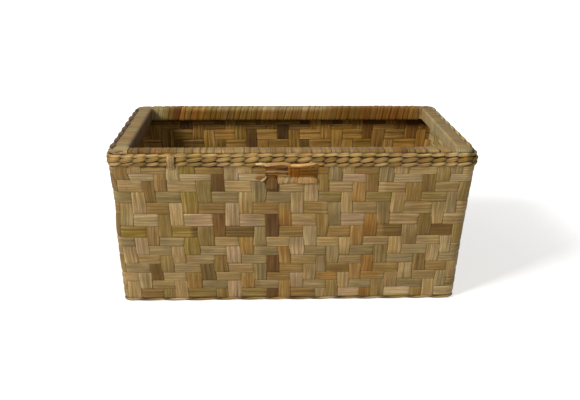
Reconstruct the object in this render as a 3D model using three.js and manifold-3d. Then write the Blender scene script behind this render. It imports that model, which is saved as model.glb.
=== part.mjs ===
// Cattail leaf storage basket with an open top. Millimetres, +Z up.
// A floor mat turns up into flat stakes all round. Leaf hoops are woven round the stakes, over two
// and under two, and each row steps one stake along from the row above, which draws the twill.
// A batten frame wrapped in leaf lies inside the top of the wall. Two twined rows border it
// outside, one twined row ties the foot, and the front has a hand slot under the border.
// The origin is under the middle of the floor, +X runs along the length, and the slot faces -Y.

import * as THREE from "three";
import { mergeVertices } from "three/addons/utils/BufferGeometryUtils.js";
import Module from "manifold-3d";

const manifold = await Module();
manifold.setup();

// Overall size, over the border and up to the rim
const overallLength = 406;
const overallDepth = 256;
const overallHeight = 178;

// Wall, which leans out from the foot to the border
const wallLean = 10.3;
const cornerRadius = 10;
const leafThickness = 0.8;
const floorThickness = 2.4;
const floorLip = 0.3;

// Room between neighbours that lie on each other
const clearance = 0.3;

// Weave: stakes on the long and short sides, and how far they sit along from the corner, in stakes
const longSideStakes = 27;
const shortSideStakes = 17;
const stakesPastCorner = 0.2;
const crossingRun = 0.25;
const rowGap = 0.4;

// Rows of hoops, counted down from the border
const narrowRows = 2;
const narrowRowHeight = 6.8;
const wideRows = 5;
const wideRowHeight = 13.5;
const footRows = 7;

// Hand slot, which takes the place of the narrow rows over a few stakes of the front
const slotFirstStake = 11;
const slotStakes = 4;
const bindingThickness = 1.2;
const bindingHeight = 6;

// Rim: a batten frame, wrapped in leaf
const rimWidth = 15.1;
const rimHeight = 15.5;
const rimChamfer = 3;
const rimCornerLeg = 4;
const longWrapLoops = 19;
const shortWrapLoops = 11;
const wrapGap = 0.6;

// Twined rows
const borderThickness = 4.4;
const upperTwineHeight = 9;
const lowerTwineHeight = 5.8;
const lowerTwineThickness = 3.6;
const baseTwineHeight = 4;
const baseTwineThickness = 3;
const twineWaist = 0.62;
const twineSlant = 0.22;
const upperTwistStakes = 1;
const lowerTwistStakes = 2;
const baseTwistStakes = 2;
const leastTwineStep = 0.02;

// Heights that follow from the sizes above
const rimBottom = overallHeight - rimHeight;
const borderTop = overallHeight - rimChamfer;
const upperTwineBottom = borderTop - upperTwineHeight;
const lowerTwineBottom = upperTwineBottom - clearance - lowerTwineHeight;
const stakeTop = borderTop;

// The twined foot rests level with the floor, so it keeps clear of the ground by a hair
const baseTwineBottom = 0.2;
const weaveBottom = baseTwineBottom + baseTwineHeight;
const weaveTop = lowerTwineBottom;

// Plan half sizes of the stakes' middle surface at their top, and at any height
const stakeOffset = leafThickness / 2 + clearance + borderThickness;
const topHalf = new THREE.Vector2(overallLength / 2 - stakeOffset, overallDepth / 2 - stakeOffset);

function wallHalf(z) {
  const inset = (wallLean * (stakeTop - z)) / stakeTop;
  return new THREE.Vector2(topHalf.x - inset, topHalf.y - inset);
}

// The path round the wall is four zones, each a side with half a corner at either end
const stakeCount = 2 * (longSideStakes + shortSideStakes);
const halfCorner = (cornerRadius * Math.PI) / 4;
const zones = [
  { stakes: longSideStakes, along: [1, 0], out: [0, -1] },
  { stakes: shortSideStakes, along: [0, 1], out: [1, 0] },
  { stakes: longSideStakes, along: [-1, 0], out: [0, 1] },
  { stakes: shortSideStakes, along: [0, -1], out: [-1, 0] },
];
zones.forEach((zone, index) => {
  zone.start = zones.slice(0, index).reduce((sum, before) => sum + before.stakes, 0);
});

function zoneLengths(zone, z) {
  const half = wallHalf(z);
  const alongX = zone.along[0] !== 0;
  const straight = (alongX ? half.x : half.y) - cornerRadius;
  const wall = alongX ? half.y : half.x;
  return { straight, wall, length: 2 * (straight + halfCorner) };
}

function zoneAt(turn) {
  return zones.findLast((zone) => turn >= zone.start);
}

// Point on the wall: place counts stakes round it, offset is outwards from the stakes' middle
function wallPoint(place, z, offset = 0) {
  const turn = (((place + stakesPastCorner) % stakeCount) + stakeCount) % stakeCount;
  const zone = zoneAt(turn);
  const { straight, wall, length } = zoneLengths(zone, z);
  const distance = ((turn - zone.start) / zone.stakes) * length;
  const fromMiddle = distance - length / 2;
  const past = Math.max(0, Math.abs(fromMiddle) - straight);
  const angle = past / cornerRadius;
  const reach = cornerRadius + offset;
  const side = Math.sign(fromMiddle);
  const along = past > 0 ? side * (straight + reach * Math.sin(angle)) : fromMiddle;
  const out = wall - cornerRadius + reach * Math.cos(angle);
  return new THREE.Vector3(
    zone.along[0] * along + zone.out[0] * out,
    zone.along[1] * along + zone.out[1] * out,
    z,
  );
}

// Millimetres between two stakes, at mid height
function pitchAt(place) {
  const turn = (((place + stakesPastCorner) % stakeCount) + stakeCount) % stakeCount;
  const zone = zoneAt(turn);
  return zoneLengths(zone, stakeTop / 2).length / zone.stakes;
}

// Places where the path needs a point to follow the round corners, in thirds of a quarter turn
const cornerFacets = 3;
const cornerStops = zones.flatMap((zone) => {
  const { length } = zoneLengths(zone, stakeTop / 2);
  const stops = [];
  for (let turned = 0; turned < Math.PI / 4; turned += Math.PI / 2 / cornerFacets) {
    const share = ((halfCorner - cornerRadius * turned) / length) * zone.stakes;
    stops.push(zone.start + share, zone.start + zone.stakes - share);
  }
  return stops.map((stop) => stop - stakesPastCorner);
});

function cornerStopsBetween(from, to) {
  const laps = [-stakeCount, 0, stakeCount];
  return cornerStops
    .flatMap((stop) => laps.map((lap) => stop + lap))
    .filter((stop) => stop > from && stop < to)
    .sort((a, b) => a - b);
}

// Closed solid from a row of like sections, joined end to end or capped
function sweptSolid(sections, joined, capShape) {
  const count = sections[0].length;
  const positions = sections.flat().flatMap((point) => [point.x, point.y, point.z]);
  const triangles = [];
  const last = joined ? sections.length : sections.length - 1;
  for (let row = 0; row < last; row++) {
    const here = row * count;
    const next = ((row + 1) % sections.length) * count;
    for (let side = 0; side < count; side++) {
      const other = (side + 1) % count;
      triangles.push(here + side, next + side, next + other);
      triangles.push(here + side, next + other, here + other);
    }
  }
  if (!joined) {
    const cap = THREE.ShapeUtils.triangulateShape(capShape, []);
    const end = (sections.length - 1) * count;
    const turned = THREE.ShapeUtils.area(capShape) < 0;
    for (const [a, b, c] of cap) {
      const [p, q] = turned ? [c, b] : [b, c];
      triangles.push(a, p, q, end + a, end + q, end + p);
    }
  }
  const geometry = new THREE.BufferGeometry();
  geometry.setAttribute("position", new THREE.Float32BufferAttribute(positions, 3));
  geometry.setIndex(triangles);
  return facingOut(geometry);
}

// Turns every face round where they point inwards
function facingOut(geometry) {
  const position = geometry.attributes.position;
  const index = geometry.index.array;
  const corner = [new THREE.Vector3(), new THREE.Vector3(), new THREE.Vector3()];
  let volume = 0;
  for (let i = 0; i < index.length; i += 3) {
    corner.forEach((point, k) => point.fromBufferAttribute(position, index[i + k]));
    volume += corner[0].dot(corner[1].cross(corner[2]));
  }
  if (volume < 0) {
    for (let i = 0; i < index.length; i += 3) {
      [index[i + 1], index[i + 2]] = [index[i + 2], index[i + 1]];
    }
  }
  geometry.computeVertexNormals();
  return geometry;
}

// Flat leaf round the wall: each stop gives the place and offset of its inner and outer face
function leafBand(stops, bottom, top, joined) {
  const sections = stops.map(({ inner, outer }) => [
    wallPoint(inner.place, bottom, inner.offset),
    wallPoint(outer.place, bottom, outer.offset),
    wallPoint(outer.place, top, outer.offset),
    wallPoint(inner.place, top, inner.offset),
  ]);
  const cap = [[0, 0], [1, 0], [1, 1], [0, 1]].map(([x, y]) => new THREE.Vector2(x, y));
  return sweptSolid(sections, joined, cap);
}

function plainStop(place, offset) {
  return {
    inner: { place, offset: offset - leafThickness / 2 },
    outer: { place, offset: offset + leafThickness / 2 },
  };
}

// A hoop lies this far out from, or in from, the stakes' middle
const hoopOffset = leafThickness + clearance;

// Where a hoop slips between two stakes its faces bend, mitred by this much, and the stakes
// leave a gap that clears it on both sides
const crossingAngle = Math.atan2(2 * hoopOffset, 2 * crossingRun);
const crossingMitre = (leafThickness / 2) * Math.tan(crossingAngle / 2);
const stakeGapHalf =
  crossingRun * (1 - clearance / hoopOffset) + crossingMitre + clearance;

function crossingStops(place, side) {
  const pitch = pitchAt(place);
  const half = leafThickness / 2;
  return [-1, 1].map((end) => ({
    inner: {
      place: place + (end * crossingRun - side * crossingMitre) / pitch,
      offset: -end * side * hoopOffset - half,
    },
    outer: {
      place: place + (end * crossingRun + side * crossingMitre) / pitch,
      offset: -end * side * hoopOffset + half,
    },
  }));
}

// Twill: a hoop is outside over two stakes and inside over the next two
function hoopSide(stake, row) {
  return (stake + row + 1 + 4 * stakeCount) % 4 < 2 ? 1 : -1;
}

const rowSpans = [];
const footRowHeight =
  (weaveTop - weaveBottom - narrowRows * narrowRowHeight - wideRows * wideRowHeight) / footRows;
let rowTop = weaveTop;
for (const [rows, height] of [
  [narrowRows, narrowRowHeight],
  [wideRows, wideRowHeight],
  [footRows, footRowHeight],
]) {
  for (let row = 0; row < rows; row++) {
    rowSpans.push({ bottom: rowTop - height + rowGap / 2, top: rowTop - rowGap / 2 });
    rowTop -= height;
  }
}
const slotEnd = slotFirstStake + slotStakes;

function hoop(row) {
  const { bottom, top } = rowSpans[row - 1];
  const cut = row <= narrowRows;
  const from = cut ? slotEnd : 0;
  const to = cut ? slotFirstStake + stakeCount : stakeCount;
  const stops = [];
  if (cut) {
    const start = from + stakeGapHalf / pitchAt(from);
    stops.push(plainStop(start, hoopSide(from, row) * hoopOffset));
  }
  for (let stake = from; stake < to; stake++) {
    const side = hoopSide(stake, row);
    const room = (crossingRun + crossingMitre + clearance) / pitchAt(stake);
    const start = stake + (hoopSide(stake - 1, row) !== side ? room : 0);
    const crosses = hoopSide(stake + 1, row) !== side;
    for (const stop of cornerStopsBetween(start, stake + 1 - (crosses ? room : 0))) {
      stops.push(plainStop(stop, side * hoopOffset));
    }
    if (crosses && !(cut && stake === to - 1)) stops.push(...crossingStops(stake + 1, side));
  }
  if (cut) {
    const end = to - stakeGapHalf / pitchAt(to);
    stops.push(plainStop(end, hoopSide(to - 1, row) * hoopOffset));
  }
  return leafBand(stops, bottom, top, !cut);
}

function stake(index) {
  const from = index + stakeGapHalf / pitchAt(index);
  const to = index + 1 - stakeGapHalf / pitchAt(index + 1);
  const places = [from, ...cornerStopsBetween(from, to), to];
  const inSlot = index >= slotFirstStake && index < slotEnd;
  const top = inSlot ? rowSpans[narrowRows].top : stakeTop;
  return leafBand(places.map((place) => plainStop(place, 0)), floorThickness / 2, top, false);
}

// Solids for joining and cutting
function toSolid(geometry) {
  const bare = geometry.clone();
  bare.deleteAttribute("normal");
  bare.deleteAttribute("uv");
  const merged = mergeVertices(bare, 1e-4);
  return new manifold.Manifold(
    new manifold.Mesh({
      numProp: 3,
      vertProperties: new Float32Array(merged.attributes.position.array),
      triVerts: new Uint32Array(merged.index.array),
    }),
  );
}

function toGeometry(solid) {
  const mesh = solid.getMesh();
  const geometry = new THREE.BufferGeometry();
  geometry.setAttribute("position", new THREE.BufferAttribute(mesh.vertProperties, 3));
  geometry.setIndex(new THREE.BufferAttribute(mesh.triVerts, 1));
  geometry.computeVertexNormals();
  return geometry;
}

// Rounded rectangle in plan, pulled up from one height to another
function roundedBlock(halfX, halfY, radius, bottom, top) {
  const shape = new THREE.Shape();
  const x = halfX - radius;
  const y = halfY - radius;
  shape.absarc(x, y, radius, 0, Math.PI / 2);
  shape.absarc(-x, y, radius, Math.PI / 2, Math.PI);
  shape.absarc(-x, -y, radius, Math.PI, 1.5 * Math.PI);
  shape.absarc(x, -y, radius, 1.5 * Math.PI, 2 * Math.PI);
  const geometry = new THREE.ExtrudeGeometry(shape, {
    depth: top - bottom,
    bevelEnabled: false,
    curveSegments: cornerFacets,
  });
  return geometry.translate(0, 0, bottom);
}

// The floor mat reaches a lip past the feet of the stakes, which turn up from it
function floorAndStakes() {
  const edge = leafThickness / 2 + floorLip;
  const half = wallHalf(0).addScalar(edge);
  let solid = toSolid(roundedBlock(half.x, half.y, cornerRadius + edge, 0, floorThickness));
  for (let index = 0; index < stakeCount; index++) solid = solid.add(toSolid(stake(index)));
  return toGeometry(solid);
}

// Twined row: a ring that swells over each twist, and whose face leans with it
function twinedRow({ bottom, height, thickness, seat, twist, corners }) {
  const places = [];
  for (let place = 0; place < stakeCount; place += twist) places.push(place, place + twist / 2);
  places.push(...cornerStopsBetween(-1e-6, stakeCount));
  places.sort((a, b) => a - b);
  const back = leafThickness / 2 + seat + clearance;
  const middle = bottom + height / 2;
  const sections = places
    .filter((place, index) => index === 0 || place - places[index - 1] > leastTwineStep)
    .map((place) => {
      const crown = (1 - Math.cos((2 * Math.PI * place) / twist)) / 2;
      const full = twineWaist + (1 - twineWaist) * crown;
      return corners.map(([out, up]) =>
        wallPoint(
          place + out * up * twineSlant * twist,
          middle + (up * height * full) / 2,
          back + out * thickness * full,
        ),
      );
    });
  return sweptSolid(sections, true);
}

// Section corners of a twined row: share of its thickness outwards, and of its half height
const squareTwine = [[0, -1], [1, -0.45], [1, 0.45], [0, 1]];
const keenTwine = [[0, -1], [1, 0], [0, 1]];

// The rim's wrapped section, seen along the batten, shrunk by an inset on every side
function rimSection(inset) {
  const chamfer = rimChamfer - inset * (2 - Math.SQRT2);
  const left = inset;
  const right = rimWidth - inset;
  const low = rimBottom + inset;
  const high = overallHeight - inset;
  return [
    [left, low],
    [right, low],
    [right, high - chamfer],
    [right - chamfer, high],
    [left + chamfer, high],
    [left, high - chamfer],
  ].map(([across, up]) => new THREE.Vector2(across, up));
}

// The wrapped rim stands just inside the stakes at its lowest edge
const rimOuter = wallHalf(rimBottom).subScalar(leafThickness / 2 + clearance);
const rimInner = rimOuter.clone().subScalar(rimWidth);
const rimCornerRadius = cornerRadius - leafThickness / 2 - clearance;
const battenInset = leafThickness + clearance;

// Bar of the rim's section along one side of the frame
function rimBar(inset, side, halfLength) {
  const alongX = side === "front" || side === "back";
  const inner = alongX ? rimInner.y : rimInner.x;
  const shape = new THREE.Shape(
    rimSection(inset).map((point) => new THREE.Vector2(inner + point.x, point.y)),
  );
  const geometry = new THREE.ExtrudeGeometry(shape, {
    depth: 2 * halfLength,
    bevelEnabled: false,
  });
  geometry.translate(0, 0, -halfLength);
  const upright = new THREE.Matrix4().makeBasis(
    new THREE.Vector3(1, 0, 0),
    new THREE.Vector3(0, 0, 1),
    new THREE.Vector3(0, -1, 0),
  );
  geometry.applyMatrix4(upright);
  return geometry.rotateZ(sideTurn[side]);
}

const sideTurn = { right: 0, back: Math.PI / 2, left: Math.PI, front: -Math.PI / 2 };

function clippedBar(inset, side, halfLength) {
  const round = roundedBlock(
    rimOuter.x - inset,
    rimOuter.y - inset,
    rimCornerRadius - inset,
    0,
    2 * overallHeight,
  );
  return toSolid(rimBar(inset, side, halfLength)).intersect(toSolid(round));
}

// Long battens run from corner to corner, and short ones butt against them
function batten(side) {
  const long = side === "front" || side === "back";
  const halfLength = long
    ? rimOuter.x - battenInset
    : rimInner.y + battenInset - clearance;
  return toGeometry(clippedBar(battenInset, side, halfLength));
}

// Leaf folded over the joint of two battens
const cornerStart = rimInner.clone().subScalar(rimCornerLeg);

function cornerFold(sideX, sideY) {
  const frame = (inset) =>
    ["front", "right", "back", "left"]
      .map((side) => {
        const long = side === "front" || side === "back";
        return clippedBar(inset, side, (long ? rimOuter.x : rimOuter.y) - inset);
      })
      .reduce((whole, bar) => whole.add(bar));
  const size = new THREE.Vector3(rimOuter.x, rimOuter.y, 2 * overallHeight);
  const zone = new THREE.BoxGeometry(size.x, size.y, size.z);
  zone.translate(
    sideX * (cornerStart.x + size.x / 2),
    sideY * (cornerStart.y + size.y / 2),
    size.z / 2,
  );
  return toGeometry(frame(0).subtract(frame(leafThickness)).intersect(toSolid(zone)));
}

// Flat leaf wound round a batten, as one unbroken tape
function rimWrap(side, loops) {
  const long = side === "front" || side === "back";
  const reach = (long ? cornerStart.x : cornerStart.y) - wrapGap;
  const inner = rimSection(leafThickness);
  const outer = rimSection(0);
  const middle = outer.map((point, k) => point.clone().add(inner[k]).multiplyScalar(0.5));
  const strides = middle.map((point, k) => point.distanceTo(middle[(k + 1) % middle.length]));
  const round = strides.reduce((sum, stride) => sum + stride);

  // The tape's middle travels from one end to the other, less its own width
  const pitch = (2 * reach + wrapGap) / (loops + 1);
  const width = pitch - wrapGap;
  const sections = [];
  let travelled = 0;
  for (let step = 0; step <= loops * middle.length; step++) {
    const k = step % middle.length;
    const along = -reach + width / 2 + pitch * (travelled / round);
    sections.push(
      [[inner, -1], [outer, -1], [outer, 1], [inner, 1]].map(
        ([line, edge]) => new THREE.Vector3(line[k].x, line[k].y, along + (edge * width) / 2),
      ),
    );
    travelled += strides[k];
  }
  const cap = [[0, 0], [1, 0], [1, 1], [0, 1]].map(([x, y]) => new THREE.Vector2(x, y));
  const geometry = sweptSolid(sections, false, cap);
  printLeastGap(side, sections, middle.length);

  const start = long ? rimInner.y : rimInner.x;
  geometry.translate(start, 0, 0);
  geometry.applyMatrix4(
    new THREE.Matrix4().makeBasis(
      new THREE.Vector3(1, 0, 0),
      new THREE.Vector3(0, 0, 1),
      new THREE.Vector3(0, -1, 0),
    ),
  );
  return geometry.rotateZ(sideTurn[side]);
}

// Measures the tape against its own next turn, on points along both edges
function printLeastGap(side, sections, stepsPerLoop) {
  const samples = 6;
  const edge = (corner) =>
    sections.slice(0, -1).flatMap((section, row) =>
      Array.from({ length: samples }, (_, k) =>
        section[corner].clone().lerp(sections[row + 1][corner], k / samples),
      ),
    );
  const leading = edge(2);
  const trailing = edge(1);
  let least = Infinity;
  const apart = Math.floor((stepsPerLoop * samples) / 2);
  leading.forEach((point, index) => {
    for (let other = index + apart; other < trailing.length; other++) {
      least = Math.min(least, point.distanceTo(trailing[other]));
    }
  });
  console.log(`rim wrap ${side}: least gap between turns ${least.toFixed(2)} mm`);
}

// Saddle of whipping over the slot's sill, between the two stakes that frame the slot
function slotBinding() {
  const inside = hoopOffset + leafThickness / 2 + clearance;
  const outside = inside + bindingThickness;
  const sill = rowSpans[narrowRows].top + clearance;
  const top = sill + bindingThickness;
  const low = top - bindingHeight;
  const outline = [
    [-outside, low],
    [-outside, top],
    [outside, top],
    [outside, low],
    [inside, low],
    [inside, sill],
    [-inside, sill],
    [-inside, low],
  ];
  const ends = [
    slotFirstStake + stakeGapHalf / pitchAt(slotFirstStake),
    slotEnd - stakeGapHalf / pitchAt(slotEnd),
  ];
  const sections = ends.map((place) =>
    outline.map(([offset, z]) => wallPoint(place, z, offset)),
  );
  return sweptSolid(sections, false, outline.map(([x, y]) => new THREE.Vector2(x, y)));
}

// Dried leaf in its own shades, and the wood of the battens
function leaf(color) {
  return new THREE.MeshStandardMaterial({ color, roughness: 0.7, metalness: 0 });
}

const straw = leaf("#a88f5e");
const tan = leaf("#96784a");
const olive = leaf("#857548");
const golden = leaf("#9c7136");
const pinkish = leaf("#a98a68");
const greyGreen = leaf("#857f60");
const hoopShades = [tan, straw, straw, greyGreen, golden, pinkish, olive];
const wood = new THREE.MeshStandardMaterial({ color: "#b08a5a", roughness: 0.65, metalness: 0 });

const basket = new THREE.Group();

function addPiece(name, geometry, material) {
  const mesh = new THREE.Mesh(geometry, material);
  mesh.name = name;
  basket.add(mesh);
}

addPiece("floor_and_stakes", floorAndStakes(), tan);

for (let row = 1; row <= rowSpans.length; row++) {
  const shade = hoopShades[(row - 1) % hoopShades.length];
  addPiece(`hoop_${String(row).padStart(2, "0")}`, hoop(row), shade);
}

for (const side of ["front", "right", "back", "left"]) {
  const long = side === "front" || side === "back";
  addPiece(`rim_batten_${side}`, batten(side), wood);
  addPiece(`rim_wrap_${side}`, rimWrap(side, long ? longWrapLoops : shortWrapLoops), straw);
}

addPiece("rim_corner_front_left", cornerFold(-1, -1), olive);
addPiece("rim_corner_front_right", cornerFold(1, -1), olive);
addPiece("rim_corner_back_right", cornerFold(1, 1), olive);
addPiece("rim_corner_back_left", cornerFold(-1, 1), olive);

addPiece(
  "border_twine_upper",
  twinedRow({
    bottom: upperTwineBottom,
    height: upperTwineHeight,
    thickness: borderThickness,
    seat: 0,
    twist: upperTwistStakes,
    corners: squareTwine,
  }),
  straw,
);
addPiece(
  "border_twine_lower",
  twinedRow({
    bottom: lowerTwineBottom,
    height: lowerTwineHeight,
    thickness: lowerTwineThickness,
    seat: 0,
    twist: lowerTwistStakes,
    corners: keenTwine,
  }),
  tan,
);
addPiece(
  "base_twine",
  twinedRow({
    bottom: baseTwineBottom,
    height: baseTwineHeight,
    thickness: baseTwineThickness,
    seat: floorLip,
    twist: baseTwistStakes,
    corners: keenTwine,
  }),
  pinkish,
);
addPiece("slot_binding", slotBinding(), straw);

export default basket;
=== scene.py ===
import math

import bpy
import numpy as np
from mathutils import Matrix, Vector


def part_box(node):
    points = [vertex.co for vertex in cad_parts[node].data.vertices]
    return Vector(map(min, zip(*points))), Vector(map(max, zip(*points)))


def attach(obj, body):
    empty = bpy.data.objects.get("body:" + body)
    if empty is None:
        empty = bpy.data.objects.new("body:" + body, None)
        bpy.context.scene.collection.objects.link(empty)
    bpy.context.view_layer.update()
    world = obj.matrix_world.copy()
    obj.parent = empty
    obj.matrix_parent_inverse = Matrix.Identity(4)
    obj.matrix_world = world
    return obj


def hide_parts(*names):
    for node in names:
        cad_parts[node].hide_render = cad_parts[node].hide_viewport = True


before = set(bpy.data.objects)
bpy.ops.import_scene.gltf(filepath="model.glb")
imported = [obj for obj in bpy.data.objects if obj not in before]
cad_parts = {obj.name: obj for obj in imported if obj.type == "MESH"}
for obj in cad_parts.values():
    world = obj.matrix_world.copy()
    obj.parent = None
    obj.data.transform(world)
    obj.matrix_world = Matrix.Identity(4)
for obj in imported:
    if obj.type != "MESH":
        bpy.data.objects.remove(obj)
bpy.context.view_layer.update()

mm = 0.001

# Shades of dried cattail leaf, as they look on the finished basket
leafShades = {
    "straw": "#977c50", "paleStraw": "#9b845b", "tan": "#8d7348", "brownTan": "#816537",
    "pinkTan": "#987d59", "golden": "#8c6a38", "orangeBrown": "#86602d", "redBrown": "#73512a",
    "rust": "#7d4c22", "deepBrown": "#5d4019", "olive": "#80693a", "darkOlive": "#6a5125",
    "greyGreen": "#816c44", "greyTan": "#8b754d", "yellowOlive": "#866d34", "paleGreen": "#8f8058",
    "rosyStraw": "#a98151",
}
# Each part draws its unevenness from its own seed; the twined rows have theirs beside their sizes
seeds = {"weave": 7, "stakes": 11, "floor": 12, "hoops": 100, "rim": 30, "corners": 41, "tie": 55, "slot": 61}


def linearColour(hexText):
    # sRGB hex to the linear values that shaders and attributes hold
    parts = [int(hexText[i:i + 2], 16) / 255 for i in (1, 3, 5)]
    return np.array([p / 12.92 if p <= 0.04045 else ((p + 0.055) / 1.055) ** 2.4 for p in parts])


shadeColours = {name: linearColour(code) for name, code in leafShades.items()}


def wander(rng, period, waves, size):
    # smooth irregularity that closes on itself after one period
    terms = [(rng.uniform(0.4, 1.0) / math.sqrt(n), n, rng.uniform(0, 2 * math.pi)) for n in waves]
    total = sum(strength for strength, n, phase in terms)

    def at(x):
        angle = 2 * math.pi * np.asarray(x, dtype=float) / period
        return size / total * sum(s * np.sin(n * angle + phase) for s, n, phase in terms)

    return at


def smoothStep(x):
    x = np.clip(x, 0, 1)
    return x * x * (3 - 2 * x)


# Camera, where the photographer stood
cameraPlace = {
    "position": (-0.0355, -1.0148, 0.4022),
    "yaw": 2.12,  # degrees to the right
    "pitch": 17.40,  # degrees down
    "roll": 0.31,
    "focalPixels": 858,  # for an image 580 wide
    "imageWidth": 580,
    "sensorWidth": 36,
}


def makeCamera(place):
    yaw, pitch, roll = (math.radians(place[k]) for k in ("yaw", "pitch", "roll"))
    forward = Vector((math.sin(yaw) * math.cos(pitch), math.cos(yaw) * math.cos(pitch), -math.sin(pitch)))
    right = Vector((math.cos(yaw), -math.sin(yaw), 0))
    up = right.cross(forward)
    tiltedRight = right * math.cos(roll) + up * math.sin(roll)
    tiltedUp = up * math.cos(roll) - right * math.sin(roll)
    data = bpy.data.cameras.new("photoCamera")
    data.sensor_width = place["sensorWidth"]
    data.lens = place["focalPixels"] / place["imageWidth"] * place["sensorWidth"]
    camera = bpy.data.objects.new("photoCamera", data)
    bpy.context.scene.collection.objects.link(camera)
    turn = Matrix((tiltedRight, tiltedUp, -forward)).transposed()
    camera.matrix_world = Matrix.Translation(place["position"]) @ turn.to_4x4()
    bpy.context.scene.camera = camera


makeCamera(cameraPlace)
print("camera placed")


# Materials
def addNode(tree, kind, settings=None, links=None):
    node = tree.nodes.new("ShaderNode" + kind)
    for key, value in (settings or {}).items():
        if isinstance(key, int) or key in node.inputs:
            node.inputs[key].default_value = value
        else:
            setattr(node, key, value)
    for key, source in (links or {}).items():
        tree.links.new(source, node.inputs[key])
    return node


def emptyMaterial(name):
    material = bpy.data.materials.new(name)
    material.use_nodes = True
    material.node_tree.nodes.clear()
    return material


leafFinish = {
    "ior": 1.46,  # cellulose with a little natural wax
    "roughness": (0.52, 0.78),  # in the veins and on the ridges
    "specular": 0.28,  # the wax has dulled
    "fibreTone": 0.09,
    "lineTone": 0.20,
    "hue": (0.492, 0.508),  # the leaf is greener or redder in places
    "veinDepth": 0.10 * mm,
    "fibreDepth": 0.6,  # of a vein's
    "relief": 0.8,
    "veinColour": 1.11,  # saturation in a vein and on the ridge beside it
    "ridgeColour": 0.94,
}
# Patterns of the skin: spacing, stretch along and across the leaf, and settings of the noise
leafPatterns = {
    "veins": (1.5 * mm, 0.03, 1, {"Detail": 4.0, "Roughness": 0.62, "Distortion": 0.15}),
    "fibres": (0.45 * mm, 0.02, 1, {"Detail": 2.0, "Roughness": 0.55}),
    "stains": (28 * mm, 1, 2.2, {"Detail": 2.0, "Roughness": 0.5}),
    "flecks": (3.5 * mm, 0.5, 1.6, {"Detail": 3.0, "Roughness": 0.75}),
}
# Contrast of veins, stains and flecks in each use of the leaf
leafContrasts = {"Plaited": (0.22, 0.13, 0.38), "Wrapped": (0.16, 0.12, 0.25), "Twisted": (0.22, 0.12, 0.20)}


def cattailLeaf(name, finish, contrasts):
    # dried flat leaf: long fine veins and fibres, slow stains along the leaf and small dark flecks of mould
    material = emptyMaterial(name)
    tree = material.node_tree
    grain = addNode(tree, "UVMap", {"uv_map": "leafGrain"}).outputs["UV"]
    tone = addNode(tree, "Attribute", {"attribute_name": "leafTone"}).outputs["Color"]
    noise = {}
    for part, (spacing, along, across, settings) in leafPatterns.items():
        stretch = (1 / spacing * along, 1 / spacing * across, 1)
        place = addNode(tree, "Mapping", {"Scale": stretch}, {"Vector": grain}).outputs["Vector"]
        noise[part] = addNode(tree, "TexNoise", {"Scale": 1.0, **settings}, {"Vector": place})
    veins, fibres, stains, flecks = (noise[part].outputs["Fac"] for part in leafPatterns)

    # thin dark lines along the borders of the veins
    fromLine = addNode(tree, "Math", {"operation": "SUBTRACT", 1: 0.5}, {0: veins}).outputs["Value"]
    awayFromLine = addNode(tree, "Math", {"operation": "ABSOLUTE"}, {0: fromLine}).outputs["Value"]
    veinContrast, stainContrast, fleckContrast = contrasts
    # the ridges between veins are paler, which is the leaf's own, and greyer, which is painted sheen
    ranges = {
        "vein": (veins, 0.42, 0.60, 1 - veinContrast, 1 + veinContrast),
        "stain": (stains, 0.3, 0.7, 1 - stainContrast, 1 + stainContrast),
        "fleck": (flecks, 0.60, 0.74, 1.0, 1 - fleckContrast),
        "fibre": (fibres, 0.36, 0.64, 1 - finish["fibreTone"], 1 + finish["fibreTone"]),
        "line": (awayFromLine, 0.0, 0.03, 1 - finish["lineTone"], 1.0),
        "hue": (noise["stains"].outputs["Color"], 0.3, 0.7, *finish["hue"]),
        "ridgeSheen": (veins, 0.42, 0.60, finish["veinColour"], finish["ridgeColour"]),
        "gloss": (veins, 0.25, 0.75, *finish["roughness"]),
    }
    mapped = {}
    for part, (source, *limits) in ranges.items():
        settings = dict(zip(("From Min", "From Max", "To Min", "To Max"), limits))
        mapped[part] = addNode(tree, "MapRange", settings, {"Value": source}).outputs["Result"]
    strength = mapped["vein"]
    for part in ("stain", "fleck", "fibre", "line"):
        factors = {0: strength, 1: mapped[part]}
        strength = addNode(tree, "Math", {"operation": "MULTIPLY"}, factors).outputs["Value"]
    links = {"Color": tone, "Hue": mapped["hue"], "Saturation": mapped["ridgeSheen"], "Value": strength}
    colour = addNode(tree, "HueSaturation", {}, links).outputs["Color"]

    settings = {"operation": "MULTIPLY_ADD", 1: finish["fibreDepth"]}
    height = addNode(tree, "Math", settings, {0: fibres, 2: veins}).outputs["Value"]
    settings = {"Strength": finish["relief"], "Distance": finish["veinDepth"]}
    bump = addNode(tree, "Bump", settings, {"Height": height}).outputs["Normal"]
    settings = {"IOR": finish["ior"], "Metallic": 0.0, "Specular IOR Level": finish["specular"]}
    links = {"Base Color": colour, "Roughness": mapped["gloss"], "Normal": bump}
    shader = addNode(tree, "BsdfPrincipled", settings, links)
    addNode(tree, "OutputMaterial", {}, {"Surface": shader.outputs["BSDF"]})
    return material


plaitedLeaf, wrappedLeaf, twistedLeaf = (
    cattailLeaf("cattailLeaf" + use, leafFinish, contrasts) for use, contrasts in leafContrasts.items()
)

pineFinish = {"lineSpacing": 4 * mm, "lineColour": "#b58d58", "woodColour": "#cfae7b", "roughness": 0.65}


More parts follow.
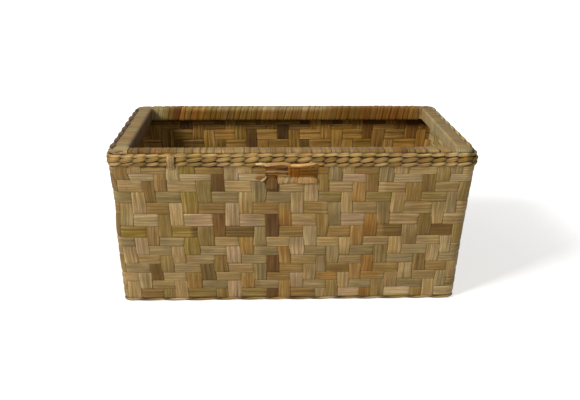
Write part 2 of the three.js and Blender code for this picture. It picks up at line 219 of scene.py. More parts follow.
def sawnPine(name, finish):
    # sawn softwood: pale, with darker growth lines along the batten
    material = emptyMaterial(name)
    tree = material.node_tree
    place = addNode(tree, "TexCoord").outputs["Object"]
    lines = addNode(tree, "TexNoise", {"Scale": 1 / finish["lineSpacing"], "Detail": 3.0}, {"Vector": place})
    ramp = addNode(tree, "ValToRGB", {}, {"Fac": lines.outputs["Fac"]})
    for element, shade in zip(ramp.color_ramp.elements, (finish["lineColour"], finish["woodColour"])):
        element.color = (*linearColour(shade), 1)
    settings = {"Roughness": finish["roughness"], "IOR": 1.5}
    shader = addNode(tree, "BsdfPrincipled", settings, {"Base Color": ramp.outputs["Color"]})
    addNode(tree, "OutputMaterial", {}, {"Surface": shader.outputs["BSDF"]})
    return material


pineWood = sawnPine("sawnPine", pineFinish)
print("materials made")


# Wall: its plan at every height, read from the frame's stakes and hoops
wall = {
    "lean": 10.3 * mm,
    "cornerRadius": 10 * mm,
    "leafThickness": 0.8 * mm,
    "longStakes": 27,
    "shortStakes": 17,
    "pastCorner": 0.2,  # stakes
    "rows": 14,
    "cutRows": 2,  # rows that stop at the hand slot
    "slotFirst": 11,
    "slotStakes": 4,
    "footRound": 9 * mm,  # height over which the wall turns in to the floor
    "footTuck": 2.0 * mm,
    "footDrop": 3.2 * mm,  # how far the stakes run on under the lowest hoop
}

# A used basket stands a little out of true: height, then millimetres out at the left and right end
softBow = [(0, 1.5, -2.0), (60, 1.4, -1.3), (85, 1.2, -0.6), (115, -1.4, 0.4), (155, 0.2, 2.3)]
softBow += [(178, -1.8, 0)]
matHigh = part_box("floor_and_stakes")[1]
stakeTop = matHigh[2]
topHalf = np.array([matHigh[0], matHigh[1]]) - wall["leafThickness"] / 2
stakeCount = 2 * (wall["longStakes"] + wall["shortStakes"])
slotLast = wall["slotFirst"] + wall["slotStakes"]
halfCorner = wall["cornerRadius"] * math.pi / 4
zoneStakes = np.array([wall["longStakes"], wall["shortStakes"]] * 2)
zoneStart = np.concatenate(([0], np.cumsum(zoneStakes)[:-1]))
zoneAlong = np.array([[1, 0], [0, 1], [-1, 0], [0, -1]])
zoneOut = np.array([[0, -1], [1, 0], [0, 1], [-1, 0]])


def bowed(points):
    # pushes both ends of the basket out or in, by height
    heights, left, right = (np.array(column) * mm for column in zip(*softBow))
    share = points[..., 0] / topHalf[0]
    z = points[..., 2]
    push = np.where(share > 0, np.interp(z, heights, right), -np.interp(z, heights, left))
    moved = points.copy()
    moved[..., 0] += push * np.abs(share) ** 3
    return moved


def wallPoints(place, z, offset):
    # place counts stakes round the wall, offset is outwards from the stakes' middle surface
    place, z, offset = np.broadcast_arrays(*(np.asarray(a, dtype=float) for a in (place, z, offset)))
    turn = np.mod(place + wall["pastCorner"], stakeCount)
    zone = np.searchsorted(zoneStart, turn, side="right") - 1
    inset = wall["lean"] * (stakeTop - z) / stakeTop
    halfX = topHalf[0] - inset
    halfY = topHalf[1] - inset
    isLong = zone % 2 == 0
    straight = np.where(isLong, halfX, halfY) - wall["cornerRadius"]
    face = np.where(isLong, halfY, halfX)
    length = 2 * (straight + halfCorner)
    fromMiddle = (turn - zoneStart[zone]) / zoneStakes[zone] * length - length / 2
    past = np.maximum(0, np.abs(fromMiddle) - straight)
    angle = past / wall["cornerRadius"]
    tuck = wall["footTuck"] * np.clip(1 - z / wall["footRound"], 0, 1) ** 2
    reach = wall["cornerRadius"] + offset - tuck
    bend = np.sign(fromMiddle) * (straight + reach * np.sin(angle))
    along = np.where(past > 0, bend, fromMiddle)
    out = face - wall["cornerRadius"] + reach * np.cos(angle)
    plan = zoneAlong[zone] * along[..., None] + zoneOut[zone] * out[..., None]
    return bowed(np.concatenate((plan, z[..., None]), axis=-1))


# Weave: where each stake and row lies, with the unevenness of hand work
weave = {
    "sway": 0.72 * mm,  # how far a leaf swings out and in
    "crown": 0.24 * mm,  # how far a leaf bulges across its width
    "crownTop": 0.55,  # share of the crown over the middle; the edges sink by the rest
    "turnShare": 0.17,  # part of a cell that a leaf needs to dive
    "bow": 0.35,  # how much of the swing is spread over a whole float
    "edgeJitter": 0.06,  # stakes
    "edgeWander": 0.10,  # stakes, up and down an edge
    "laneWander": 0.012,  # of a cell, for the middle of a leaf
    "rowWander": 0.6 * mm,
    "endRowWander": 0.3,  # of that, for the top and the foot
    "stakeFill": 1.02,  # share of a cell that a leaf covers; neighbours just lap
    "hoopFill": 1.03,
    "fillWander": 0.022,
    "diveNarrow": 0.02,
    "shadeContrast": 1.14,  # leaves differ a little more than their named shades
}

# Stakes crowd a little at the left of the front: stake number and millimetres along
stakeDrift = [(-6, 0), (0, 0.4), (2, 0.4), (4.5, -2.0), (6.5, 0.8), (9, 3.4), (12, 3.6), (15, 3.0)]
stakeDrift += [(18, 0.6), (21, -0.6), (23, 2.4), (27, 2.2), (33, 0), (82, 0)]
frontPitch = 14.0

weaveRandom = np.random.default_rng(seeds["weave"])


def makeStakeEdges():
    index = np.arange(stakeCount + 1)
    drift = np.interp(index, *zip(*stakeDrift)) / frontPitch
    drift[-6:] += np.interp(index[-6:] - stakeCount, [-6, 0], [0, stakeDrift[1][1]]) / frontPitch
    drift[0] = drift[-1]
    jitter = weaveRandom.normal(0, weave["edgeJitter"], stakeCount + 1)
    jitter[-1] = jitter[0]
    return index + drift + jitter


stakeEdges = makeStakeEdges()
edgeWanders = [
    wander(weaveRandom, 2 * wall["rows"], (3, 5, 8, 11), weave["edgeWander"]) for k in range(stakeCount)
]


def placeOf(w, y=None):
    # weave coordinate, whole at the edges of stakes, to place on the wall; the edges lean to and fro
    w = np.asarray(w, dtype=float)
    if y is not None:
        w, y = np.broadcast_arrays(w, np.asarray(y, dtype=float))
        shifts = np.stack([edge(y) for edge in edgeWanders])
        here = np.floor(w).astype(int)
        share = w - here
        first = np.take_along_axis(shifts, np.mod(here, stakeCount)[None], axis=0)[0]
        second = np.take_along_axis(shifts, np.mod(here + 1, stakeCount)[None], axis=0)[0]
        w = w + first * (1 - share) + second * share
    lap = np.floor(w / stakeCount)
    return np.interp(w - lap * stakeCount, np.arange(stakeCount + 1), stakeEdges) + lap * stakeCount


def makeRowLines():
    boxes = [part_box(f"hoop_{row:02d}") for row in range(1, wall["rows"] + 1)]
    between = [(boxes[k][0][2] + boxes[k + 1][1][2]) / 2 for k in range(wall["rows"] - 1)]
    gap = between[0] - boxes[1][1][2]
    return np.array([boxes[0][1][2] + gap, *between, boxes[-1][0][2] - gap])


rowLines = makeRowLines()
rowWanders = []
for line in range(wall["rows"] + 1):
    size = weave["rowWander"] * (weave["endRowWander"] if line in (0, wall["rows"]) else 1)
    rowWanders.append(wander(weaveRandom, stakeCount, (2, 3, 5, 8, 13, 21), size))

# Lines between rows that lie lower than even: millimetres, at these stakes along the front
sagStakes = (0, 9, 15.5, 21, 27)
rowSag = {
    1: (0.9, 0.9, 1.2, 1.8, 1.8),
    2: (1.1, 2.0, 2.8, 4.2, 4.0),
    3: (0.6, 1.0, 1.5, 2.2, 2.0),
    6: (0.8, 1.0, 0.8, 0, 0),
    7: (0.2, 0.3, 1.4, 0.8, -0.6),
    8: (0, 0.8, 1.2, 0.6, -0.8),
    9: (0.2, 1.0, 2.2, 1.6, 0.2),
    10: (0, 1.0, 1.4, 1.0, -1.6),
    11: (0.3, 1.2, 1.4, 1.2, -0.8),
    13: (-0.3, -0.5, -0.4, -0.5, -1.2),
}
sagEnds = (33, 82)  # stakes round the corners, where the rows are even again


def rowLine(k, w):
    sag = rowSag.get(k, (0,) * len(sagStakes))
    stakes, depths = (*sagStakes, *sagEnds, stakeCount), (*sag, 0, 0, sag[0])
    return rowLines[k] + rowWanders[k](w) - np.interp(np.mod(w, stakeCount), stakes, depths) * mm


def heightOf(y, w):
    # row coordinate, 0 under the border to 14 at the foot, to height
    y, w = np.broadcast_arrays(np.asarray(y, dtype=float), np.asarray(w, dtype=float))
    lines = np.stack([rowLine(k, w) for k in range(wall["rows"] + 1)])
    low = np.clip(np.floor(y).astype(int), 0, wall["rows"] - 1)
    share = y - low
    upper = np.take_along_axis(lines, low[None], axis=0)[0]
    lower = np.take_along_axis(lines, low[None] + 1, axis=0)[0]
    return upper + (lower - upper) * share


def hoopSide(stake, row):
    # twill: outside over two stakes, inside over the next two, one stake along for each row
    return np.where(np.mod(stake + row + 1, 4) < 2, 1.0, -1.0)


def sideAlong(position, sideAt):
    # a leaf dives sharply at the shared edge of two cells, and bows a little over the whole float
    cell = np.floor(position)
    t = position - cell
    before, here, after = (sideAt(cell + step) for step in (-1, 0, 1))
    mixed = 0
    for r, part in ((weave["turnShare"], 1 - weave["bow"]), (0.5, weave["bow"])):
        fromBefore = smoothStep((t + r) / (2 * r))
        fromAfter = smoothStep((1 - t + r) / (2 * r))
        first = before + (here - before) * fromBefore
        mixed = mixed + part * np.where(t < 0.5, first, after + (here - after) * fromAfter)
    return mixed


def stripMesh(name, strips, material, nodes):
    # one object from many leaves; each is a row of closed sections
    points, faces, uvs, tones = [], [], [], []
    base = 0
    for strip in strips:
        stations, around = strip["points"].shape[:2]
        s = np.arange(stations if strip["closed"] else stations - 1)[:, None]
        a = np.arange(around)[None, :]
        nextA = (a + 1) % around
        corners = [np.broadcast_arrays(*pair) for pair in ((s, a), (s + 1, a), (s + 1, nextA), (s, nextA))]
        quads = np.stack([i % stations * around + j for i, j in corners], axis=-1).reshape(-1, 4)
        quadUv = np.stack([strip["uv"][i, j] for i, j in corners], axis=2).reshape(-1, 4, 2)
        flat = strip["points"].reshape(-1, 3)
        middle = flat.mean(axis=0)
        p0, p1, p2, p3 = (flat[quads[:, k]] - middle for k in range(4))
        # faces that look inwards are turned round
        turned = np.einsum("ij,ij->", p0, np.cross(p1, p2) + np.cross(p2, p3)) < 0
        if turned:
            quads = quads[:, ::-1]
            quadUv = quadUv[:, ::-1]
        faces.extend((quads + base).tolist())
        uvs.append(quadUv.reshape(-1, 2))
        if not strip["closed"]:
            for station, backwards in ((0, not turned), (stations - 1, turned)):
                cap = np.arange(around)[:: -1 if backwards else 1]
                faces.append((base + station * around + cap).tolist())
                uvs.append(strip["uv"][station, cap])
        points.append(flat)
        tones.append(strip["tone"].reshape(-1, 3))
        base += stations * around
    mesh = bpy.data.meshes.new(name)
    mesh.from_pydata(np.concatenate(points).tolist(), [], faces)
    layer = mesh.uv_layers.new(name="leafGrain")
    layer.data.foreach_set("uv", np.concatenate(uvs).astype(np.float32).ravel())
    toneLayer = mesh.color_attributes.new("leafTone", "FLOAT_COLOR", "POINT")
    rgba = np.concatenate((np.concatenate(tones), np.ones((base, 1))), axis=1)
    toneLayer.data.foreach_set("color", rgba.astype(np.float32).ravel())
    mesh.polygons.foreach_set("use_smooth", [True] * len(mesh.polygons))
    mesh.materials.append(material)
    piece = bpy.data.objects.new(name, mesh)
    bpy.context.scene.collection.objects.link(piece)
    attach(piece, "root")
    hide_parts(*nodes)


# One leaf: folded lengthwise in two creases, sometimes dried in pleats
leafForm = {
    "thickness": 0.75 * mm,
    "stakeHalf": 6.5 * mm,  # half widths, for the grain
    "hoopHalf": 6 * mm,
    "edgeThickness": 0.35,  # share of the thickness left at an edge
    "edgePlace": 0.86,  # the column beside an edge, across the half width
    "edgeLift": 0.3,  # how much of the folds is left at an edge
    "creasePlaces": (-0.30, 0.32),
    "creaseShift": 0.12,
    "creaseWander": 0.07,
    "creaseHalf": 0.025,
    "creaseStep": 0.17 * mm,
    "creaseFade": (0.6, 0.8),  # mean strength along the leaf, and how far it varies
    "ridge": 0.05 * mm,
    "tilt": 0.18 * mm,  # one edge stands off, the other lies low
    "pleatShare": 0.30,  # of all leaves
    "pleatFade": (0.7, 0.6),
    "pleat": 0.09 * mm,
    "pleatShading": 0.045,
    # painted highlight on raised pleats and painted shade on sunk ones
    "streakTone": 0.03,
    # painted shade in the creases
    "creaseShade": 0.78,
    "edgeShade": 0.96,  # painted shade along the leaf edges, where neighbouring leaves meet
    "neighbourTone": 0.25,  # most that a leaf takes of a neighbour's shade
    # painted shade where a leaf dives under the next, and how far along the leaf it reaches
    "diveShade": 0.50,
    "diveReach": 0.55,
    "insideContrast": 0.45,
    "paintedInsideShading": (1.02, 0.84, 0.46),  # painted shade: the inner face is darker and browner, as inside the basket
    "insideEven": 0.45,  # and more alike from leaf to leaf
}
leafWaves = (2, 3, 5, 8)
grainRange = 40  # metres of pattern, from which each leaf has its own spot


def foldedLeaf(rng, along, period):
    # places across the leaf, lift and shade at each of them, and half the thickness
    shift = leafForm["creaseShift"]
    first, second = (
        place + rng.uniform(-shift, shift) + wander(rng, period, leafWaves, leafForm["creaseWander"])(along)
        for place in leafForm["creasePlaces"]
    )
    e, edge = leafForm["creaseHalf"], leafForm["edgePlace"]
    marks = [-1, -edge, (first - 1) / 2, first - e, first + e, (first + second) / 2]
    marks += [second - e, second + e, (second + 1) / 2, edge, 1]
    v = np.stack(np.broadcast_arrays(*marks), axis=1)
    mean, vary = leafForm["creaseFade"]
    steps = []
    for side in range(2):
        fade = np.clip(mean + wander(rng, period, leafWaves, vary)(along), 0, 1)
        steps.append((fade * rng.choice([-1, 1]))[:, None])
    lift = rng.normal(0, leafForm["ridge"], (1, v.shape[1])) * np.ones((len(v), 1))
    shade = 1 + rng.normal(0, leafForm["streakTone"], (1, v.shape[1])) * np.ones((len(v), 1))
    # each crease lifts one flap, and painted shade darkens the fold
    for step, flap, fold in zip(steps, (slice(0, 4), slice(7, None)), (slice(3, 5), slice(6, 8))):
        lift[:, flap] += step * leafForm["creaseStep"]
        shade[:, fold] *= 1 - (1 - leafForm["creaseShade"]) * np.abs(step)
    if rng.uniform() < leafForm["pleatShare"]:
        wave = np.where(np.arange(v.shape[1]) % 2 == 0, 1.0, -1.0)
        mean, vary = leafForm["pleatFade"]
        fade = np.clip(mean + wander(rng, period, leafWaves, vary)(along), 0, 1)[:, None]
        # raised pleats get a painted highlight, sunk ones painted shade
        lift += leafForm["pleat"] * wave * fade
        shade *= 1 + leafForm["pleatShading"] * wave * fade
    lift[:, [0, -1]] *= leafForm["edgeLift"]
    lift += wander(rng, period, leafWaves, leafForm["tilt"])(along)[:, None] * v
    # painted shade along both edges
    shade[:, [0, -1]] *= leafForm["edgeShade"]
    return v, lift, shade, halfThickness(v, leafForm["thickness"])


def halfThickness(v, thickness):
    edge = leafForm["edgeThickness"]
    return thickness / 2 * (edge + (1 - edge) * (1 - v**4))


def leafLoop(outer, inner):
    # outer face from edge to edge, then back along the inner face
    return np.concatenate((outer, inner[:, ::-1]), axis=1)


def leafStrip(faces, uv, tones, closed=False):
    # a leaf from its outer and inner face, and the tones of both
    return {"points": leafLoop(*faces), "uv": uv, "tone": leafLoop(*tones), "closed": closed}


def faceTones(along, shade, side, insideTint=1):
    # tones of both faces: along the leaf, across it, and painted shade where it dives
    dive = smoothStep(np.abs(side) / leafForm["diveReach"])
    dive = leafForm["diveShade"] + (1 - leafForm["diveShade"]) * dive
    shaded = (shade * dive[:, None])[..., None]
    # the folds show more on the inside: their painted shade and the streaks count twice there
    lightness = along.mean(axis=1) / shadeColours["tan"].mean()
    strength = lightness ** leafForm["insideContrast"]
    alike = along + (lightness[:, None] * shadeColours["tan"] - along) * leafForm["insideEven"]
    inner = alike[:, None, :] * shaded * (shade * strength[:, None])[..., None]
    # painted shade on the inner face, then the tints of parts of the inside, most of them painted light and
    # shade
    inner = inner * np.array(leafForm["paintedInsideShading"]) * np.broadcast_to(insideTint, along.shape)[:, None]
    return along[:, None, :] * shaded, inner


def lengthsAlong(path, closed=False):
    # distance at each station, and once more back at the start of a closed leaf
    steps = np.linalg.norm(np.diff(path, axis=0, append=path[:1]), axis=1)
    return np.concatenate(([0], np.cumsum(steps)))[: len(path) + closed]


def grainUv(lengths, v, halfWidth, rng):
    # metres along and across the leaf, started at a random spot of the pattern
    start = rng.uniform(0, grainRange, 2)
    if len(v) < len(lengths):
        v = np.concatenate((v, v[:1]))
    across = v * halfWidth
    both = np.concatenate((across, across[:, ::-1] + 4 * halfWidth), axis=1)
    return np.stack(np.broadcast_arrays(lengths[:, None] + start[0], both + start[1]), axis=-1)


def drawn(rng, shades):
    return shades[rng.integers(len(shades))]


def tonesAlong(rng, stations, base, others, patch, strength):
    # slow change of shade along a leaf, patch by patch, with a little of a neighbouring shade in places
    knots = max(2, int(stations / patch) + 2)
    at = np.linspace(0, knots - 1, stations)
    lightness = np.interp(at, np.arange(knots), rng.normal(1, strength, knots))
    share = np.interp(at, np.arange(knots), rng.uniform(0, leafForm["neighbourTone"], knots))
    other = shadeColours[drawn(rng, others)]
    base = np.broadcast_to(base, (stations, 3))
    return (base * (1 - share[:, None]) + other[None, :] * share[:, None]) * lightness[:, None]


# Shades of the stakes, from the corner stake on along the front: under the border, in the middle
# and at the foot; the other sides are drawn from a mix
frontStakeShades = [
    """darkOlive brownTan straw darkOlive brownTan paleStraw yellowOlive olive deepBrown pinkTan straw
    greyGreen deepBrown olive straw straw brownTan greyGreen straw golden brownTan greyGreen straw
    brownTan darkOlive olive greyTan olive greyTan""".split(),
    """darkOlive greyTan pinkTan brownTan olive straw yellowOlive olive redBrown pinkTan golden
    greyGreen deepBrown orangeBrown pinkTan paleStraw brownTan greyGreen straw golden orangeBrown olive
    straw tan darkOlive straw paleStraw olive tan""".split(),
    """olive straw paleStraw darkOlive olive straw golden darkOlive brownTan pinkTan golden greyGreen
    deepBrown golden pinkTan tan greyTan olive straw golden orangeBrown olive tan straw brownTan straw
    paleStraw straw tan""".split(),
]
shadeRows = [0, 3.7, 5.2, 8.4, 9.9, 14]  # rows between which the shade holds or changes
leafMix = """straw straw tan tan tan pinkTan olive greyGreen greyTan brownTan golden paleStraw yellowOlive
orangeBrown darkOlive redBrown""".split()

# Insides differ: painted shade makes the patch of the back that shows through the hand slot darker and
# browner, painted light makes the right end pale, the back's last stake beside it is dark, and painted
# shade darkens the left end
slotView = {"stake": 58, "row": 7.4, "stakes": 5.2, "rows": 4.6, "tint": (1.12, 0.74, 0.25), "softness": 1.5}
insideZones = [
    {"from": 27.2, "to": 43.5, "tint": (1.5, 2.0, 3.7)},
    {"from": 43.6, "to": 44.48, "tint": (0.45, 0.38, 0.20)},
    {"from": 44.48, "to": 45.0, "tint": (0.80, 0.74, 0.62)},
    {"from": 71.6, "to": 87.6, "tint": (0.72, 0.68, 0.60)},
]


def insideTint(stake, row):
    stake, row = np.broadcast_arrays(np.asarray(stake, dtype=float), row)
    across = (stake - slotView["stake"]) / slotView["stakes"]
    down = (row - slotView["row"]) / slotView["rows"]
    patch = smoothStep(slotView["softness"] * (1 - np.hypot(across, down)))
    tint = 1 - patch[:, None] * (1 - np.array(slotView["tint"]))
    for zone in insideZones:
        tint[(stake > zone["from"]) & (stake < zone["to"])] = zone["tint"]
    return tint


def contrasted(colours):
    return shadeColours["tan"] * (colours / shadeColours["tan"]) ** weave["shadeContrast"]


def stakeBase(stake, y, rng):
    # the stake's own shade down the rows
    if stake == stakeCount - 1 or stake < wall["longStakes"]:
        names = [shades[(stake + 1) % stakeCount] for shades in frontStakeShades]
    else:
        names = [drawn(rng, leafMix)] * 3
    levels = np.repeat([contrasted(shadeColours[name]) for name in names], 2, axis=0)
    return np.stack([np.interp(y, shadeRows, level) for level in levels.T], axis=1)


def wovenLeaf(rng, along, period, side, lane):
    # the folds of a leaf, and where its columns lie across the lane
    v, lift, shade, half = foldedLeaf(rng, along, period)
    fill = lane["fill"] + wander(rng, period, lane["fillWaves"], weave["fillWander"])(along)
    fill = fill - weave["diveNarrow"] * (1 - side**2)
    middle = lane["middle"] + wander(rng, period, lane["middleWaves"], weave["laneWander"])(along)
    return v, lift, shade, half, middle[:, None] + lane["way"] * 0.5 * fill[:, None] * v


def wovenFaces(w, y, z, side, v, lift, half):
    # outer and inner face of a leaf in the wall
    side = side[:, None]
    offset = weave["sway"] * side + weave["crown"] * side * (weave["crownTop"] - v**2) + lift
    place = placeOf(w, y)
    return [wallPoints(place, z, offset + face) for face in (half, -half)]


cellSteps = np.array([0.0, 0.08, 0.17, 0.36, 0.64, 0.83, 0.92])
footSide = -0.6  # how far inwards the stakes lie where they turn in under the hoops


def makeStakes():
    rng = np.random.default_rng(seeds["stakes"])
    strips = []
    for stake in range(stakeCount):
        inSlot = wall["slotFirst"] <= stake < slotLast
        first = wall["cutRows"] if inSlot else 0
        y = np.concatenate([row + cellSteps for row in range(first, wall["rows"])] + [[wall["rows"]]])
        side = -sideAlong(y, lambda cell: hoopSide(stake, np.clip(cell, 0, wall["rows"] - 1) + 1))
        lane = {"middle": stake + 0.5, "fill": weave["stakeFill"], "way": 1}
        lane.update(fillWaves=(1, 2, 3, 5, 7), middleWaves=(1, 2, 3, 4, 6))
        v, lift, shade, half, w = wovenLeaf(rng, y, wall["rows"], side, lane)
        rowAt = np.broadcast_to(y[:, None], w.shape)
        z = heightOf(rowAt, w)
        tone = tonesAlong(rng, len(y), stakeBase(stake, y, rng), leafMix, patch=8, strength=0.08)

        # one more station at the foot, and at the top where the stake isn't cut
        index = [*([] if inSlot else [0]), *range(len(y)), len(y) - 1]
        parts = (w, rowAt, z, side, v, lift, shade, half, tone)
        w, rowAt, z, side, v, lift, shade, half, tone = (part[index] for part in parts)
        if not inSlot:
            # tucked up behind the border
            z[0] = stakeTop
            side[0] = 0
        # the foot turns in under the hoops
        z[-1] -= wall["footDrop"]
        side[-1] = footSide
        faces = wovenFaces(w, rowAt, z, side, v, lift, half)
        uv = grainUv(lengthsAlong(faces[0][:, v.shape[1] // 2]), v, leafForm["stakeHalf"], rng)
        tones = faceTones(tone, shade, side, insideTint(stake + 0.5, rowAt[:, 0]))
        strips.append(leafStrip(faces, uv, tones))
    return strips


floorMat = {
    "middleHeight": 2.1 * mm,
    "margin": 0.6 * mm,
    "sway": 0.75 * mm,
    "crown": 0.35 * mm,
    "folds": 0.6,  # of those in the wall
}
floorSteps = np.array([0.0, 0.2, 0.5, 0.8])


def makeFloor():
    # plaited floor: strips run along and across, over two and under two
    rng = np.random.default_rng(seeds["floor"])
    halves = topHalf - wall["lean"] - wall["footTuck"] + wall["leafThickness"]
    margin, radius = floorMat["margin"], wall["cornerRadius"]
    edges = []
    for axis, sideStakes in ((0, slice(0, zoneStart[1] + 1)), (1, slice(zoneStart[1], zoneStart[2] + 1))):
        marks = np.sort(wallPoints(stakeEdges[sideStakes], 0, 0)[:, axis])
        edges.append(np.concatenate(([-halves[axis] + margin], marks[1:-1], [halves[axis] - margin])))
    strips = []
    for axis, sign in ((0, 1), (1, -1)):
        lanes, cells = edges[1 - axis], edges[axis]
        s = np.concatenate([k + floorSteps for k in range(len(cells) - 1)] + [[len(cells) - 1]])
        run = np.interp(s, np.arange(len(cells)), cells)
        for lane in range(len(lanes) - 1):
            side = sign * sideAlong(s, lambda c: hoopSide(lane, c) if axis else hoopSide(c, lane))
            v, lift, shade, half = foldedLeaf(rng, s, len(cells))
            middle = (lanes[lane] + lanes[lane + 1]) / 2
            line = middle + v * (lanes[lane + 1] - lanes[lane]) / 2 * weave["stakeFill"]
            # strips near an edge stop at the round corners
            past = np.maximum(0, np.abs(line) - (halves[1 - axis] - radius))
            chord = np.sqrt(np.maximum(0, radius**2 - past**2))
            limit = halves[axis] - margin - (radius - chord)
            runs = np.clip(run[:, None], -limit, limit)
            rise = (floorMat["sway"] + floorMat["crown"] * (weave["crownTop"] - v**2)) * side[:, None]
            height = floorMat["middleHeight"] + (rise + lift * floorMat["folds"])
            plan = (line, runs) if axis else (runs, line)
            faces = [bowed(np.stack((*plan, height + face), axis=-1)) for face in (half, -half)]
            base = shadeColours[drawn(rng, leafMix)]
            tone = tonesAlong(rng, len(s), base, leafMix, patch=9, strength=0.06)
            uv = grainUv(run, v, leafForm["stakeHalf"], rng)
            strips.append(leafStrip(faces, uv, faceTones(tone, shade, side)))
    return strips


stripMesh("stakes", makeStakes(), plaitedLeaf, ["floor_and_stakes"])
stripMesh("floorMat", makeFloor(), plaitedLeaf, ["floor_and_stakes"])
print("stakes and floor made")

# Shades of the hoops along the front; a row is spliced from several leaves, at these stakes
spliceStakes = (0, 5.5, 10.5, 15.5, 20.5)
hoopShades = [
    "tan brownTan orangeBrown brownTan straw",
    "paleStraw paleStraw pinkTan pinkTan paleStraw",
    "straw straw straw straw tan",
    "greyGreen greyGreen greyGreen olive olive",
    "brownTan brownTan brownTan tan tan",
    "paleStraw pinkTan straw pinkTan straw",
    "yellowOlive darkOlive brownTan brownTan darkOlive",
    "greyTan straw straw straw straw",
    "greyTan greyTan greyGreen greyGreen greyTan",
    "tan greyTan tan tan greyTan",
    "greyTan tan brownTan brownTan brownTan",
    "straw tan brownTan golden tan",
    "tan greyGreen greyTan greyTan greyGreen",
    "brownTan olive brownTan pinkTan paleStraw",
]
mixedSplices = (29, 41, 53, 66, 76)  # on the other sides the shades are drawn from the mix
lastSplice = 84  # from here on the row's first leaf
patchStakes = 2.5  # stakes from one change of lightness along a row to the next


def makeHoop(row):
    rng = np.random.default_rng(seeds["hoops"] + row)
    cut = row <= wall["cutRows"]
    cells = range(slotLast, wall["slotFirst"] + stakeCount) if cut else range(stakeCount)
    w = np.concatenate([cell + cellSteps for cell in cells] + ([[cells.stop]] if cut else []))
    side = sideAlong(w, lambda cell: hoopSide(cell, row))
    waves = (5, 8, 13, 21, 34, 44)
    lane = {"middle": row - 0.5, "fill": weave["hoopFill"], "way": -1}
    lane.update(fillWaves=waves, middleWaves=waves)
    v, lift, shade, half, y = wovenLeaf(rng, w, stakeCount, side, lane)
    around = np.broadcast_to(w[:, None], y.shape)
    faces = wovenFaces(around, y, heightOf(y, around), side, v, lift, half)

    names = hoopShades[row - 1].split()
    splices = list(zip(spliceStakes, names))
    splices += [(stake, drawn(rng, leafMix)) for stake in mixedSplices]
    splices += [(lastSplice, names[0])]
    turn = np.mod(w, stakeCount)
    tone = np.zeros((len(w), 3))
    for begin, name in splices:
        tone[turn >= begin] = contrasted(shadeColours[name])
    knots = np.arange(0, 2 * stakeCount, patchStakes)
    tone *= np.interp(w, knots, rng.normal(1, 0.08, len(knots)))[:, None]
    uv = grainUv(lengthsAlong(faces[0][:, v.shape[1] // 2], not cut), v, leafForm["hoopHalf"], rng)
    tones = faceTones(tone, shade, side, insideTint(turn, row - 0.5))
    return [leafStrip(faces, uv, tones, not cut)]


for row in range(1, wall["rows"] + 1):
    stripMesh(f"hoop{row:02d}", makeHoop(row), plaitedLeaf, [f"hoop_{row:02d}"])
print("hoops made")


# Rim: one unbroken leaf wound tightly round each batten, every turn lapping the last
rimWrap = {
    "round": 1.8 * mm,
    "turnSpread": 0.38,
    "cover": 1.22,  # leaf width in turns
    "lap": 0.55 * mm,
    "crown": 0.10 * mm,
    "fold": 0.09 * mm,
    "swell": 0.12 * mm,
    "slantShare": 0.76,  # of a turn, the rest runs back under the batten
    "fan": 9.0 * mm,  # how far the outer side runs ahead towards a corner
    "fanLength": 42 * mm,
    "thickness": 0.45 * mm,
    "sink": 0.25 * mm,
    "inwards": 0,
    "bright": 1,
    # painted light on the top face
    "paintedTopLight": (1, 1, 1),
    "tone": 0.06,
    "streak": 0.07,
    # painted shade along the raised edge of each turn and along the edge tucked under the next
    "raisedEdgeShade": 0.60,
    "tuckedEdgeShade": 0.82,
    "tint": (1.05, 0.98, 0.85),
    "innerShare": (0.04, 0.14),  # of the rim's width, where the inner face's painted shading ends
    "fadeStart": 23 * mm,  # at the back left the inner face loses its painted shade, so it is as pale as the top
    "fadeLength": 4 * mm,
    "spacing": 3.2 * mm,  # between stations round the batten
}
# Each side: turn, slant, strength of tone, the inner face's painted shade (on the right, painted light),
# and whether it fans out at its right or back end and at the other
rimSides = {
    "front": {
        "turn": 9.0 * mm, "slant": -5.0 * mm, "contrast": 1.8, "bright": 0.94,
        "paintedInsideShading": (0.80, 0.66, 0.44), "fans": (True, False),
    },
    "right": {
        "turn": 5.6 * mm, "slant": -5.0 * mm, "contrast": 1.4, "bright": 0.93,
        "paintedInsideShading": (1.40, 1.54, 1.95), "fans": (True, True),
        "raisedEdgeShade": 0.26, "tuckedEdgeShade": 0.66, "lap": 0.8 * mm,
    },
    "back": {
        "turn": 7.4 * mm, "slant": 3.5 * mm, "contrast": 1.5,
        "paintedInsideShading": (0.70, 0.56, 0.26), "fans": (True, True), "paintedTopLight": (1.25, 1.42, 1.8),
        "paintedLightSpan": (0.32, 0.90),  # the part of its length, from the right end, where painted light makes the top paler
        "paintedLightDown": 4.5 * mm,  # how far that painted light fades out down the inner face
        "sink": -0.55 * mm,
    },
    "left": {
        "turn": 11.0 * mm, "slant": 5.0 * mm, "contrast": 0.9,
        "paintedInsideShading": (0.27, 0.21, 0.12), "fans": (True, False),
        "inwards": 5.0 * mm,  # the wrapping is thicker on the inside
    },
}
rimColumns = np.array([-1, -0.88, -0.6, -0.33, 0, 0.33, 0.6, 0.88, 1])
leafCrown = 0.6  # share of a wound leaf's crown over its middle

# Shades listed from the left or the front end of each side
rimShades = {
    "front": """darkOlive darkOlive golden golden golden brownTan tan straw straw paleStraw straw straw
        paleStraw straw straw pinkTan brownTan straw straw straw straw pinkTan pinkTan straw pinkTan tan
        pinkTan tan tan brownTan tan orangeBrown redBrown brownTan straw paleStraw straw paleStraw
        paleGreen""",
    "right": """straw paleStraw paleGreen straw paleStraw paleGreen straw paleGreen paleGreen straw
        paleGreen straw greyTan paleGreen straw greyTan yellowOlive""",
    "back": """paleGreen paleGreen greyTan redBrown rosyStraw yellowOlive golden yellowOlive olive tan
        greyTan olive olive greyTan tan paleStraw pinkTan tan greyTan tan tan greyTan straw paleStraw
        pinkTan olive brownTan olive brownTan golden orangeBrown golden golden orangeBrown golden golden
        straw""",
    "left": "paleGreen straw greyTan straw tan paleGreen greyTan straw tan greyTan paleGreen straw greyTan",
}


